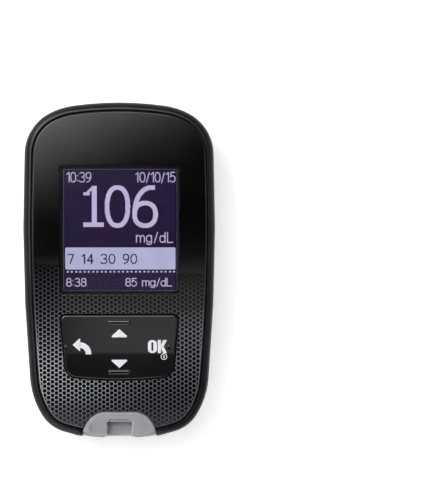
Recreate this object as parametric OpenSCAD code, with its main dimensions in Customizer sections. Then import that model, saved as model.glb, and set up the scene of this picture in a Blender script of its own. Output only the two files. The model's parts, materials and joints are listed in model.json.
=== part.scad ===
// Blood glucose meter for home use, lying on its back: +Z out of the display,
// +Y towards the USB end, the test strip goes in at the -Y end. Millimetres.

/* [Overall size] */
// Width across the widest part of the case
body_w = 46.6; // [43:0.1:51]
// Length from the strip port end to the USB end
body_l = 81.5; // [75:0.5:92]
// Thickness from the back to the top of the touch bars
body_h = 20; // [18.2:0.1:22]
// How much of the rounded strip port end is cut flat
end_flat = 0.6; // [0.3:0.1:0.9]

/* [Outline of the case] */
// Radius where the top edge turns into the upper corner
shoulder_r = 17.6; // [14:0.2:20]
// Radius of the upper corners
top_corner_r = 11.3; // [10:0.1:12.5]
// Radius where the side turns into the lower corner
hip_r = 20; // [16:0.5:24]
// Radius of the lower corners
low_corner_r = 9.3; // [8.6:0.1:10.5]

/* [Cases] */
// Wall thickness of both case halves
wall_t = 1.6; // [1.3:0.05:1.8]
// Thickness of the flat back
floor_t = 1.6; // [1.5:0.05:1.9]
// Height of the line where the case halves meet
parting_z = 10.4; // [9.8:0.1:10.8]
// How far the rounding of the back reaches in
back_round = 7.6; // [6.4:0.1:7.9]
// Height of the tongue that locates the case halves
tongue_h = 1; // [0.7:0.05:1.3]
// Wall left outside the tongue
tongue_in = 0.9; // [0.75:0.05:1.05]
// Length of the snap hooks that hold the case halves together
hook_l = 4; // [3:0.1:4.4]
// How far the hooks' barbs reach into the rear wall
hook_bite = 0.35; // [0.2:0.05:0.45]
// Clearance between parts that are pushed together
fit = 0.1; // [0.06:0.01:0.14]

/* [Front cover] */
// Width of the rim around the front cover
rim_w = 1.65; // [1.45:0.05:1.9]
// Width of the groove between rim and cover
groove_w = 0.38; // [0.2:0.02:0.5]
// How far the rim's rounding reaches in
rim_round = 1.6; // [1.4:0.05:1.65]
// Height of the rim's rounding
rim_round_h = 1.95; // [1.7:0.05:2.6]
// Depth of the rim's top below the cover's face
rim_drop = 0.45; // [0.2:0.05:0.7]
// Thickness of the front cover
cover_t = 1.9; // [1.8:0.05:2.1]
// Radius of the cover's upper edge
cover_edge = 0.5; // [0.3:0.05:0.7]
// Thickness of the deck that carries the cover
deck_t = 1.2; // [1:0.05:1.4]

/* [Display] */
// Distance from the window to each side of the case
window_side = 8.775; // [8.3:0.025:9.3]
// Distance from the window to the USB end
window_head = 15.15; // [14.8:0.05:16]
// Thickness of the window
window_t = 1.1; // [0.9:0.05:1.2]
// Corner radius of the window
window_r = 0.9; // [0.5:0.05:1.5]
// Gap around the window
window_gap = 0.12; // [0.08:0.01:0.2]
// Width of the ledge that the window is glued to
ledge_w = 0.9; // [0.7:0.05:1.1]
// Thickness of the glue frame under the window
glue_t = 0.1; // [0.05:0.01:0.15]
// How far the display glass reaches past the window at the sides and the keypad end
glass_side = 0.675; // [0.4:0.025:0.8]
// How far the display glass reaches past the window at the USB end
glass_head = 1.375; // [1.1:0.025:1.5]
// Thickness of the display glass
glass_t = 2.1; // [1.8:0.1:2.2]
// Wall of the display frame
frame_t = 0.8; // [0.6:0.05:0.9]
// Thickness of the light guide
guide_t = 1.5; // [1:0.1:1.7]
// Thickness of the diffuser sheets
diffuser_t = 0.4; // [0.3:0.05:0.5]
// Thickness of the foam seal above the display
seal_t = 0.4; // [0.3:0.05:0.6]
// Edge of the glass left free for the flex
flex_room = 1.6; // [1.4:0.1:2]

/* [Keypad] */
// How much narrower than the window the key plate is, on each side
keys_in = 0.275; // [0:0.025:0.6]
// Length of the key plate
keys_l = 15.9; // [15.4:0.1:16.2]
// How much each side tapers towards the strip port
keys_taper = 1.35; // [0.8:0.05:1.8]
// How far the lower edge bulges out
keys_bulge = 0.95; // [0.5:0.05:1.3]
// Gap between key plate and cover
key_gap = 0.35; // [0.3:0.01:0.45]
// Distance from window to key plate
window_key_gap = 5; // [4.9:0.05:5.6]
// Distance from key plate to strip port
key_port_gap = 7.6; // [7.5:0.05:8]
// How far the key plate stands above the cover
key_proud = 0.2; // [0.1:0.05:0.3]
// Slope of each half of the key plate, in degrees
key_slope = 1.2; // [0.6:0.1:1.6]
// Height of the touch bars
bar_h = 0.3; // [0.2:0.05:0.4]
// Height of the touch nubs beside the left and right keys
nub_h = 0.2; // [0.1:0.05:0.25]
// Length of the touch bars
bar_w = 5.6; // [4.5:0.1:6.5]
// Distance of the up and down plungers from the middle
plunger_y = 4.5; // [4:0.1:4.8]
// Distance of the left and right posts from the sides of the key plate
post_in = 5.25; // [4.5:0.05:6]
// Diameter of the snap domes
dome_d = 4; // [3.4:0.1:4.4]

/* [Strip port] */
// Width of the port cover
port_w = 17.8; // [17:0.1:18.6]
// Length of the port cover on the face
port_l = 6.5; // [6.4:0.05:6.8]
// Width of the straight part of its arch
port_flat = 6.8; // [6:0.1:7.6]
// How far the port cover's end leans in
port_lean = 2.3; // [1.8:0.1:2.5]
// Height over which it leans in
port_lean_h = 6.5; // [5.6:0.1:7.2]
// Length of the strip trough
trough_l = 4; // [3.9:0.05:4.2]
// Width of the strip trough
trough_w = 5.8; // [5.5:0.05:6.1]
// Depth of the trough below the cover's face
trough_d = 4.4; // [4.3:0.05:4.6]
// Height of the strip slot
slot_h = 0.8; // [0.7:0.02:0.9]
// Length of the strip connector
connector_l = 5.8; // [5.6:0.05:6]
// Width of the strip connector
connector_w = 10.4; // [9.6:0.1:11.2]

/* [Batteries] */
// Diameter of the coin cells
cell_d = 20; // [19.6:0.1:20.2]
// Height of the coin cells
cell_h = 3.2; // [2.9:0.1:3.3]
// Distance between the coin cells
cell_gap = 1.5; // [1.2:0.1:1.8]
// Distance from the middle of the battery bay to the USB end
battery_head = 33.75; // [33.5:0.05:34.2]
// Width of the battery door
door_w = 24.8; // [24:0.1:25.6]
// Thickness of the battery door
door_t = 1.5; // [1.3:0.05:1.5]
// Gap around the battery door
door_gap = 0.15; // [0.1:0.01:0.2]
// Radius of the rolled edge that carries the hinge pins
hinge_r = 0.9; // [0.85:0.01:0.95]
// Diameter of the hinge pins
pin_d = 0.9; // [0.7:0.05:1]

/* [Circuit board] */
// Thickness of the board
board_t = 1; // [0.8:0.05:1.1]
// Distance of the board's edge from the outside of the case
board_in = 3; // [2.8:0.1:3.3]
// Height of the display frame's legs on the board
leg_h = 1.1; // [0.9:0.05:1.2]
// Diameter of the board screws
screw_d = 1.6; // [1.4:0.1:1.8]
// Diameter of the screw bosses
boss_d = 4; // [3.6:0.1:4.2]

/* [Strip ejector] */
// Travel of the ejector
eject_travel = 3; // [2.4:0.1:3]
// Middle of the thumb pad, from the middle of the case
eject_y = -4; // [-5:0.1:-3.5]
// Length of the thumb pad
pad_l = 9; // [8:0.1:9.4]
// Height of the thumb pad
pad_h = 2.2; // [1.8:0.1:2.4]
// Diameter of the spring's wire
wire_d = 0.3; // [0.24:0.01:0.34]
// Mean diameter of the spring
coil_d = 2; // [1.8:0.05:2.1]

/* [Hidden] */
$fn = 48;
arc_steps = 6;
// How far two shapes of one piece run into each other, and how far a cut runs past its piece
sink = 0.1;
past = 1;

// Ends of the case, and the rows of parts between them
end_y = -body_l / 2;
top_y = body_l / 2;
port_top = end_y + port_l;
keys_bot = port_top + key_port_gap;
keys_top = keys_bot + keys_l;
keys_y = (keys_top + keys_bot) / 2;
window_bot = keys_top + window_key_gap;
window_w = body_w - 2 * window_side;
window_l = top_y - window_head - window_bot;
window_y = window_bot + window_l / 2;
keys_w = window_w - 2 * keys_in;

// Heights of the front stack, from the cover's face down
cover_top = body_h - bar_h - key_proud;
cover_z = cover_top - cover_t;
deck_z = cover_z - deck_t;
rim_top = cover_top - rim_drop;
cover_in = rim_w + groove_w;
glass_top = cover_z - seal_t;
glass_z = glass_top - glass_t;
diffuser_z = glass_z - fit - diffuser_t;
guide_z = diffuser_z - fit - guide_t;
frame_floor = 0.6;
frame_leg_d = 2;
frame_z = guide_z - fit - frame_floor;
glass_w = window_w + 2 * glass_side;
glass_l = window_l + glass_side + glass_head;
glass_y = window_y + (glass_head - glass_side) / 2;
frame_w = glass_w + 2 * fit + 2 * frame_t;
frame_l = glass_l + 2 * fit + 2 * frame_t;
flex_t = 0.12;
flex_w = 12;
window_round = 0.6;

// Heights of the rear stack, from the back up
cell_z = floor_t + 0.4;
tray_z = cell_z + cell_h + 0.5;
tray_t = 1.1;
tray_top = tray_z + tray_t;
board_top = frame_z - leg_h;
board_z = board_top - board_t;
part_room = board_z - tray_top;
cell_r = cell_d / 2;
cell_step = (cell_d + cell_gap) / 2;
battery_y = top_y - battery_head;
cell_ys = [battery_y - cell_step, battery_y + cell_step];
hinge_y = battery_y - cell_step - cell_r - 1.95;
door_y = battery_y + cell_step + cell_r + 2.75;
pin_reach = 1.1;
latch_w = 6;
latch_h = 1.9;
slit_w = 0.6;
grip_w = 0.6;
dimple_r = 9;
dimple_d = 0.9;
bay_play = 0.3;
post_spots = [[body_w / 2 - 7, top_y - 20.75], [body_w / 2 - 7, end_y + 20.75]];
post_d = 2.6;

// Key plate, from its face down to the snap domes
key_face = cover_top + key_proud;
key_edge = 0.35;
bar_l = 1.2;
bar_ys = [keys_top - 1.8, keys_bot + 2.05];
nub_w = 0.9;
nub_l = 1.5;
nub_xs = [0.65 + (keys_taper - keys_w) / 2, keys_w / 2 - 2.2];
tab_t = 0.8;
tab_reach = 0.8;
tab_w = 8;
key_swing = 0.6;
key_z = cover_z - key_swing - tab_t;
mat_t = 0.5;
post_x = keys_w / 2 - post_in;
mat_z = key_z - 1.7;
dome_h = 0.3;
plunger_gap = 0.28;
plunger_d = 2.4;
key_post_d = 2.2;
pivot_d = 2.6;
plunger_z = board_top + dome_h + plunger_gap;
ridge_y = keys_y - 0.8;
key_corners = [
    [-keys_w / 2, keys_top], [keys_w / 2, keys_top],
    [keys_w / 2 - keys_taper, keys_bot + keys_bulge], [0, keys_bot],
    [-keys_w / 2 + keys_taper, keys_bot + keys_bulge]
];
key_radii = [1.2, 1.2, 3, 90, 3];

// Strip port and connector
port_arch = 5.8;
step_in = 0.4;
step_d = 0.9;
step_l = 0.7;
recess_w = 7.4;
recess_d = 0.3;
scoop_y = port_top - 1.85;
scoop_w = 9.8;
scoop_flare = 2.3;
scoop_slope = 12;
port_z = board_top + 1.4;
slot_z = cover_top - trough_d;
trough_y = end_y + trough_l;
connector_y = port_top + 0.25;
connector_back = connector_y + connector_l;
connector_top = deck_z - fit;
strip_stop = connector_back - 2.1;

// Screw bosses, tied to the two ends
boss_top = [body_w / 2 - 8.3, top_y - 9.75];
boss_low = [body_w / 2 - 10.5, end_y + 7.35];
boss_spots = [boss_top, [-boss_top.x, boss_top.y], boss_low, [-boss_low.x, boss_low.y]];
screw_head_h = 1;

// Snap hooks along the sides, clear of the ejector
hook_ys = [end_y + 18, top_y - 27, top_y - 14];
hook_z = parting_z - 2.5;
hook_t = 0.9;
barb_h = 0.6;

// Parts under the board
chip_w = 8;
chip_y = battery_y - 9;
radio_w = 8;
radio_l = 9;
radio_h = 1.6;
radio_x = -8.5;
radio_y = end_y + 11;
buzzer_d = 9;
buzzer_h = 2.4;
buzzer_x = 9;
buzzer_y = end_y + 17;
coil_h = 0.41 * part_room;

// USB socket
usb_w = 7.5;
usb_h = 2.5;
usb_l = 5;
usb_wall = 0.25;
usb_in = 0.35;
usb_play = [0.3, 0.25];
usb_y = top_y - usb_in - usb_l;

// Ejector slide, link and spring
pad_z = board_top + 1.6;
slot_play = 0.15;
slide_face = -(body_w / 2 - 2.4);
slide_t = 0.8;
block_x = slide_face + slide_t;
block_w = 3.1;
block_l = 8;
link_z = board_top + 0.3;
link_t = 1.2;
link_x = block_x + 1.7;
bar_y = connector_back + 0.3;
tongue_z = slot_z + 0.02;
tongue_t = 0.26;
spring_x = block_x + 1.6;
spring_z = pad_z + 1.4;
spring_y = eject_y - block_l / 2;
rib_y = spring_y - 8.4;
rib_t = 1.2;
coils = 8;
grip_pitch = 1.5;
grip_d = 0.95;
link_pin_d = 1;

// ---- Outlines ----

function sum_to(v, n) = n <= 0 ? 0 : v[n - 1] + sum_to(v, n - 1);

// The case outline is seven tangent arcs a side, from the middle of the top edge to the
// middle of the strip end. turn holds the angle of each arc.
turn = [8, 19.7, 60, 7.2, 26.5, 40.6, 18];
steps = [3, 4, 10, 3, 6, 8, 4];
head = [for (i = [0:7]) sum_to(turn, i)];

// The top edge, side and strip end arcs take the radii that give the wanted length and width
case_l = body_l + end_flat;
col_top = [sin(head[1]), 0, 1 - cos(head[1])];
col_side = [1 - sin(head[3]), sin(head[4]) - 1, cos(head[3]) - cos(head[4])];
col_end = [0, -sin(head[6]), 1 + cos(head[6])];
rest = [
    body_w / 2 - shoulder_r * (sin(head[2]) - sin(head[1]))
        - top_corner_r * (sin(head[3]) - sin(head[2])),
    -body_w / 2 - hip_r * (sin(head[5]) - sin(head[4])) - low_corner_r * (sin(head[6]) - sin(head[5])),
    case_l - shoulder_r * (cos(head[1]) - cos(head[2])) - top_corner_r * (cos(head[2]) - cos(head[3]))
        - hip_r * (cos(head[4]) - cos(head[5])) - low_corner_r * (cos(head[5]) - cos(head[6]))
];
det = col_top * cross(col_side, col_end);
arc_r = [
    rest * cross(col_side, col_end) / det, shoulder_r, top_corner_r,
    col_top * cross(rest, col_end) / det, hip_r, low_corner_r,
    col_top * cross(col_side, rest) / det
];

function arc_start(i, d) =
    i == 0 ? [0, top_y - d]
    : arc_start(i - 1, d)
        + (arc_r[i - 1] - d) * [sin(head[i]) - sin(head[i - 1]), cos(head[i]) - cos(head[i - 1])];

function right_side(d) = [
    for (i = [0:6]) let (s = arc_start(i, d))
        for (k = [0:steps[i] - 1]) let (a = head[i] + turn[i] * k / steps[i])
            s + (arc_r[i] - d) * [sin(a) - sin(head[i]), cos(a) - cos(head[i])]
];

// Outline of the case, set in by d, clockwise seen from the front
function case_outline(d) =
    let (r = right_side(d), n = len(r))
    concat(r, [[0, top_y - case_l + d]], [for (i = [n - 1:-1:1]) [-r[i].x, r[i].y]]);

function unit(v) = v / norm(v);

function fillet(a, p, b, r) =
    let (
        u = unit(a - p), v = unit(b - p), half = acos(u * v) / 2,
        c = p + unit(u + v) * r / sin(half),
        s = p + u * r / tan(half) - c, e = p + v * r / tan(half) - c,
        a0 = atan2(s.y, s.x), swing = atan2(s.x * e.y - s.y * e.x, s * e)
    )
    r <= 0 ? [p] : [for (i = [0:arc_steps]) let (t = a0 + swing * i / arc_steps) c + r * [cos(t), sin(t)]];

// A convex outline with rounded corners, set in by d
function rounded(corners, radii, d = 0) =
    let (n = len(corners), q = [
        for (i = [0:n - 1]) let (
            p = corners[i],
            u = unit(corners[(i + n - 1) % n] - p), v = unit(corners[(i + 1) % n] - p)
        )
        p + unit(u + v) * d / sin(acos(u * v) / 2)
    ])
    [
        for (i = [0:n - 1]) each
            fillet(q[(i + n - 1) % n], q[i], q[(i + 1) % n], radii[i] > 0 ? max(radii[i] - d, 0.05) : 0)
    ];

function box_corners(w, l, y) =
    [[-w / 2, y + l / 2], [w / 2, y + l / 2], [w / 2, y - l / 2], [-w / 2, y - l / 2]];

function round_box(w, l, y, r) = rounded(box_corners(w, l, y), [r, r, r, r]);

function port_outline(grow) =
    let (
        half = port_w / 2 + grow, flat = port_flat / 2, top = port_top + grow,
        n = 8,
        arch = [
            for (i = [0:n]) let (a = 90 * i / n)
                [flat + (half - flat) * cos(a), top - port_arch * (1 - sin(a))]
        ]
    )
    concat(
        [for (p = arch) [-p.x, p.y]], [for (i = [n:-1:0]) arch[i]],
        [[half, end_y - 1], [-half, end_y - 1]]
    );

// A bent strip's section: a path and the same path moved by its thickness
function strip_section(path, t) =
    let (n = len(path), side = [
        for (i = [0:n - 1]) let (v = unit(path[min(i + 1, n - 1)] - path[max(i - 1, 0)]))
            path[i] + t * [-v.y, v.x]
    ])
    concat(path, [for (i = [n - 1:-1:0]) side[i]]);

// ---- Building blocks ----

module block(lo, hi) translate(lo) cube(hi - lo);

module slab(outline, z0, z1) translate([0, 0, z0]) linear_extrude(z1 - z0) polygon(outline);

module rod_x(d, x0, x1, y, z) translate([x0, y, z]) rotate([0, 90, 0]) cylinder(d = d, h = x1 - x0);

module both_sides() {
    children();
    mirror([1, 0, 0]) children();
}

// Strip of width w, bent in the YZ plane and centred on x
module strip_yz(path, t, w, x = 0)
    translate([x - w / 2, 0, 0]) rotate([90, 0, 90]) linear_extrude(w) polygon(strip_section(path, t));

// Strip of width w, bent in the XZ plane and centred on y
module strip_xz(path, t, w, y = 0)
    translate([0, y + w / 2, 0]) rotate([90, 0, 0]) linear_extrude(w) polygon(strip_section(path, t));

// Solid through stacked outlines: each layer is a height and its points
module loft(layers) {
    n = len(layers[0][1]);
    m = len(layers);
    polyhedron(
        points = [for (layer = layers) for (p = layer[1]) [p.x, p.y, layer[0]]],
        faces = concat(
            [[for (i = [n - 1:-1:0]) i]],
            [
                for (k = [0:m - 2]) for (i = [0:n - 1]) let (j = (i + 1) % n, a = k * n, b = a + n)
                    [a + i, a + j, b + j, b + i]
            ],
            [[for (i = [0:n - 1]) (m - 1) * n + i]]
        )
    );
}

// Solid whose outline is the case's, set in at each height as the profile says
module case_form(profile) loft([for (p = profile) [p[0], case_outline(p[1])]]);

// Elliptic side of the rear case, from the flat back up to the parting line
function rear_profile(wall, floor, n) = [
    for (i = [n:-1:0]) let (a = 90 * i / n)
        [parting_z - (parting_z - floor) * sin(a), back_round - (back_round - wall) * cos(a)]
];

// Straight side, then an elliptic shoulder of height h up to the given top
function front_profile(top, reach, h, n) = concat(
    [[parting_z, 0]],
    [for (i = [0:n]) let (a = 90 * i / n) [top - h * (1 - sin(a)), reach * (1 - cos(a))]]
);

module end_cut() block([-body_w, end_y - 5, -1], [body_w, end_y, body_h + 5]);

// Pieces of a ring that follows the case's sides, from inset a to inset b
module side_pieces(a, b, ys, l, z0, z1) intersection() {
    difference() {
        slab(case_outline(a), z0, z1);
        slab(case_outline(b), z0 - 1, z1 + 1);
    }
    for (y = ys) block([-body_w, y - l / 2, z0], [body_w, y + l / 2, z1]);
}

module usb_hole()
    block(
        [-usb_w / 2 - usb_play.x, top_y - 2.6, board_top - usb_play.y],
        [usb_w / 2 + usb_play.x, top_y + past, board_top + usb_h + usb_play.y]
    );

// ---- Cases ----

module finger_dimple() translate([0, door_y + 1.9, dimple_d - dimple_r]) sphere(r = dimple_r);

module battery_bay() {
    for (y = cell_ys) translate([0, y, floor_t - 2 * sink])
        cylinder(r = cell_r + bay_play, h = tray_z - floor_t + 2 * sink);
    block([-7, cell_ys[0], floor_t - 2 * sink], [7, cell_ys[1], tray_z]);
    // slots of the side contacts and of the contacts above the cells
    for (y = cell_ys) {
        block([cell_r - 0.2, y - 2, floor_t], [cell_r + 1.3, y + 2, tray_top + past]);
        block([-2.3, y + 6.8, tray_z - sink], [2.3, y + 7.7, tray_top + past]);
    }
    // pocket of the latch
    block([-latch_w / 2 - 0.4, door_y - 1.6, floor_t - 2 * sink],
        [latch_w / 2 + 0.4, door_y + 0.2, tray_z - 1.6]);
}

module rear_case() color("#1c1c1e") difference() {
    union() {
        difference() {
            case_form(rear_profile(0, 0, 9));
            case_form(concat(rear_profile(wall_t, floor_t, 7), [[parting_z + 1, wall_t]]));
        }
        difference() {
            slab(case_outline(tongue_in), parting_z - 1, parting_z + tongue_h);
            slab(case_outline(wall_t), parting_z - 2, parting_z + tongue_h + 1);
        }
        slab(
            round_box(door_w + 3.2, door_y - hinge_y + 5.6, (door_y + hinge_y) / 2 - 0.1, 2.5),
            floor_t - 2 * sink, tray_top
        );
        // posts that back the board
        both_sides() for (p = post_spots) translate([p.x, p.y, floor_t - 2 * sink])
            cylinder(d = post_d, h = board_z - 0.1 - floor_t + 2 * sink);
    }
    end_cut();
    usb_hole();
    // catches of the snap hooks
    side_pieces(wall_t - hook_bite - fit, wall_t + 0.4, hook_ys, hook_l + 2 * fit, hook_z - fit,
        hook_z + barb_h + 2 * fit);
    battery_bay();
    finger_dimple();
    // door opening, hinge roll and pin bores
    slab(rounded(door_corners(), door_radii, -door_gap), -1, floor_t);
    block(
        [-door_w / 2 - door_gap, hinge_y - hinge_r - door_gap, -1],
        [door_w / 2 + door_gap, hinge_y + 0.5, floor_t]
    );
    rod_x(2 * (hinge_r + door_gap), -door_w / 2 - door_gap, door_w / 2 + door_gap, hinge_y, hinge_r);
    rod_x(pin_d + 2 * fit, -door_w / 2 - pin_reach - fit, door_w / 2 + pin_reach + fit, hinge_y, hinge_r);
}

module front_case() color("#2e2d2f") difference() {
    union() {
        difference() {
            case_form(front_profile(rim_top, rim_round, rim_round_h, 6));
            slab(case_outline(wall_t), parting_z - 1, deck_z);
            slab(case_outline(tongue_in - fit), parting_z - 1, parting_z + tongue_h + fit);
            slab(case_outline(rim_w), cover_z, body_h + 1);
        }
        for (p = boss_spots) translate([p.x, p.y, board_top])
            cylinder(d = boss_d, h = deck_z + sink - board_top);
        // snap hooks and their barbs
        side_pieces(wall_t + 2 * fit, wall_t + hook_t, hook_ys, hook_l, hook_z, deck_z + sink);
        side_pieces(wall_t - hook_bite, wall_t + hook_t, hook_ys, hook_l, hook_z, hook_z + barb_h);
        // wall that the ejector's spring pushes against
        block([slide_face - 1.2, rib_y - rib_t, link_z + link_t + 0.25],
            [block_x + 3.3, rib_y, deck_z + sink]);
    }
    end_cut();
    usb_hole();
    for (p = boss_spots) translate([p.x, p.y, board_top - 1]) cylinder(d = screw_d + fit, h = 5);
    slab(round_box(frame_w + 0.4, frame_l + 0.4, glass_y, 1), deck_z - 1, cover_z + 1);
    slab(
        rounded(box_corners(keys_w + 3.3, keys_l + 2.8, keys_y), [1.5, 1.5, 3, 3]),
        deck_z - 1, cover_z + 1
    );
    slab(port_outline(fit), port_z, body_h + 1);
    // slot of the thumb pad
    block(
        [-body_w, eject_y - pad_l / 2 - eject_travel - slot_play, pad_z - slot_play],
        [slide_face + 0.4, eject_y + pad_l / 2 + slot_play, pad_z + pad_h + slot_play]
    );
}

module front_cover() color("#38383a") difference() {
    loft(concat(
        [[cover_z, case_outline(cover_in)]],
        [
            for (i = [0:3]) let (a = 30 * i)
                [cover_top - cover_edge * (1 - sin(a)), case_outline(cover_in + cover_edge * (1 - cos(a)))]
        ]
    ));
    slab(round_box(window_w - 2 * ledge_w, window_l - 2 * ledge_w, window_y, window_round),
        cover_z - 1, cover_top + 1);
    slab(round_box(window_w + 2 * window_gap, window_l + 2 * window_gap, window_y, window_r + window_gap),
        cover_top - window_t - glue_t, cover_top + 1);
    slab(rounded(key_corners, key_radii, -key_gap), cover_z - 1, cover_top + 1);
    slab(port_outline(fit), cover_z - 1, cover_top + 1);
}

// ---- Display ----

module display_window() color("#26232e", 0.6)
    slab(round_box(window_w, window_l, window_y, window_r), cover_top - window_t, cover_top);

module window_glue() color("#0a0a0a") difference() {
    slab(round_box(window_w - 0.2, window_l - 0.2, window_y, window_r), cover_top - window_t - glue_t,
        cover_top - window_t);
    slab(round_box(window_w - 2 * ledge_w, window_l - 2 * ledge_w, window_y, window_round),
        cover_z, cover_top);
}

module display_seal() color("#111113") difference() {
    slab(round_box(window_w + 0.6, window_l + 0.6, window_y, 0.8), glass_top, cover_z);
    slab(round_box(window_w - 1, window_l - 1, window_y, window_round), glass_top - 1, cover_z + 1);
}

module display_glass() color("#262036") slab(round_box(glass_w, glass_l, glass_y, 0.4), glass_z, glass_top);

function backlight_outline() =
    round_box(glass_w - 2 * fit, glass_l - 2 * fit - flex_room, glass_y - flex_room / 2, 0.4);

module diffuser() color("#e8e8ea") slab(backlight_outline(), diffuser_z, diffuser_z + diffuser_t);

module light_guide() color("#dfe2ea") difference() {
    slab(backlight_outline(), guide_z, guide_z + guide_t);
    // pockets of the lamps along the lower edge
    for (x = [-9, -3, 3, 9]) translate([x, glass_y - glass_l / 2, guide_z - past])
        cylinder(d = 2, h = guide_t + 2 * past);
}

module display_frame() color("#151517") difference() {
    union() {
        slab(round_box(frame_w, frame_l, glass_y, 0.8), frame_z, glass_top - 0.1);
        both_sides() for (s = [-1, 1])
            translate([frame_w / 2 - 1.2, glass_y + s * (frame_l / 2 - 1.2), board_top])
                cylinder(d = frame_leg_d, h = frame_z + sink - board_top);
    }
    slab(round_box(glass_w + 2 * fit, glass_l + 2 * fit, glass_y, 0.5), guide_z - fit, glass_top + 1);
    // opening for the flex
    block(
        [-flex_w / 2 - 0.5, glass_y + glass_l / 2 - 0.5, glass_z - 0.8],
        [flex_w / 2 + 0.5, glass_y + frame_l / 2 + 1, glass_top + 1]
    );
}

// From under the edge of the glass, over the frame and down into its connector
module display_flex() {
    y = glass_y + frame_l / 2;
    z = glass_z - flex_t;
    color("#b5731f") strip_yz([
        [glass_y + glass_l / 2 - 1.2, z], [y + 0.6, z], [y + 1.3, glass_z - 0.7],
        [y + 1.5, glass_z - 1.5], [y + 1.5, board_top + 1.3], [y + 1.9, board_top + 0.75],
        [y + 2.6, board_top + 0.5], [usb_y - 3, board_top + 0.5]
    ], flex_t, flex_w);
}

module flex_connector() color("#d9d4c4") difference() {
    block([-flex_w / 2 - 1, usb_y - 4.2, board_top], [flex_w / 2 + 1, usb_y - 1.2, board_top + 1.1]);
    block([-flex_w / 2 - 0.2, usb_y - 4.3, board_top + 0.42],
        [flex_w / 2 + 0.2, usb_y - 2.9, board_top + 0.7]);
}

// ---- Keypad ----

module key_plate() color("#343336") {
    difference() {
        loft([
            [key_z, rounded(key_corners, key_radii)],
            [key_face - key_edge, rounded(key_corners, key_radii)],
            [key_face - 0.1, rounded(key_corners, key_radii, 0.1)],
            [key_face, rounded(key_corners, key_radii, key_edge)]
        ]);
        // the face slopes away on both sides of a ridge between the arrows
        translate([0, ridge_y, key_face]) {
            rotate([-key_slope, 0, 0]) block([-keys_w, 0, 0], [keys_w, keys_l, 3]);
            rotate([key_slope, 0, 0]) block([-keys_w, -keys_l, 0], [keys_w, 0, 3]);
        }
    }
    for (y = bar_ys) slab(round_box(bar_w, bar_l, y, 0.59), key_face - 0.5, key_face + bar_h);
    // touch nubs, one at the left edge and one beside the word of the right key
    for (x = nub_xs) translate([x, 0, 0])
        slab(round_box(nub_w, nub_l, keys_y, 0.44), key_face - 0.5, key_face - 0.1 + nub_h);
    // tabs that hold the plate under the cover
    for (y = [keys_top, keys_bot])
        block([-tab_w / 2, y - tab_reach, key_z], [tab_w / 2, y + tab_reach, key_z + tab_t]);
    both_sides()
        block([keys_w / 2 - keys_taper, keys_y - 3, key_z],
            [keys_w / 2 - keys_taper / 2 + tab_reach, keys_y + 3, key_z + tab_t]);
    // posts of the left and right keys
    both_sides() translate([post_x, keys_y, plunger_z])
        cylinder(d = key_post_d, h = key_z + sink - plunger_z);
}

module key_mat() color("#8d8d90") {
    difference() {
        slab(round_box(keys_w - 3.5, keys_l - 0.9, keys_y, 2), mat_z, mat_z + mat_t);
        both_sides() translate([post_x, keys_y, mat_z - past])
            cylinder(d = key_post_d + 1, h = mat_t + 2 * past);
    }
    slab(round_box(6.8, keys_l - 2.3, keys_y, 1), mat_z + mat_t - sink, key_z - 0.15);
    for (s = [-1, 1]) translate([0, keys_y + s * plunger_y, plunger_z])
        cylinder(d = plunger_d, h = mat_z + sink - plunger_z);
    // pivot that stands on the board between the keys
    translate([0, keys_y, board_top + 0.12]) cylinder(d = pivot_d, h = mat_z - board_top);
}

module snap_domes() color("#c9cacc") {
    r = dome_d / 2;
    for (p = [[0, plunger_y], [0, -plunger_y], [post_x, 0], [-post_x, 0]])
        translate([p.x, keys_y + p.y, board_top]) rotate_extrude()
            polygon(concat([[0, 0]], [for (i = [0:5]) [r * (1 - i / 5), dome_h * (1 - pow(1 - i / 5, 2))]]));
}

// ---- Circuit board ----

module main_board() color("#1f5a3c") difference() {
    slab(case_outline(board_in), board_z, board_top);
    for (p = boss_spots) translate([p.x, p.y, board_z - 1]) cylinder(d = screw_d + 0.4, h = board_t + 2);
}

module board_screws() color("#b9bbc0") for (p = boss_spots) translate([p.x, p.y, board_z]) {
    cylinder(d = screw_d, h = board_t + 4);
    difference() {
        translate([0, 0, -screw_head_h]) cylinder(d = 2.9, h = screw_head_h);
        for (a = [0, 90]) rotate([0, 0, a]) block([-0.9, -0.2, -screw_head_h - 1], [0.9, 0.2, -0.45]);
    }
}

module microcontroller() color("#202022") difference() {
    block([-chip_w / 2, chip_y - chip_w / 2, board_z - 1], [chip_w / 2, chip_y + chip_w / 2, board_z]);
    translate([0.8 - chip_w / 2, chip_y + 0.8 - chip_w / 2, board_z - 2]) cylinder(d = 0.8, h = 1.1);
}

module radio_module() color("#c4c6c8") translate([radio_x, radio_y, board_z]) {
    block([-radio_w / 2, 0, -radio_h], [radio_w / 2, radio_l, 0]);
    // antenna board beyond the can
    block([-radio_w / 2 + 0.8, radio_l, -0.6], [radio_w / 2 - 0.8, radio_l + 2, 0]);
}

module buzzer() color("#19191b") translate([buzzer_x, buzzer_y, board_z]) mirror([0, 0, 1]) difference() {
    cylinder(d = buzzer_d, h = buzzer_h);
    translate([0, 0, buzzer_h - 0.5]) cylinder(d = buzzer_d / 5, h = 1);
}

module small_components() color("#9a8667") {
    // rows of capacitors and resistors beside the microcontroller
    both_sides() for (i = [0:5])
        translate([chip_w / 2 + 3, chip_y - 5 + 1.9 * i, board_z - 0.55]) cube([1.6, 0.8, 0.55]);
    // crystal
    translate([-1.6, chip_y + 6, board_z - 0.8]) cube([3.2, 1.5, 0.8]);
    // voltage converter and its coil
    translate([-8, top_y - 12, board_z - 0.9]) cube([3, 3, 0.9]);
    translate([-2, top_y - 12, board_z - coil_h]) cube([3.6, 3.6, coil_h]);
}

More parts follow.
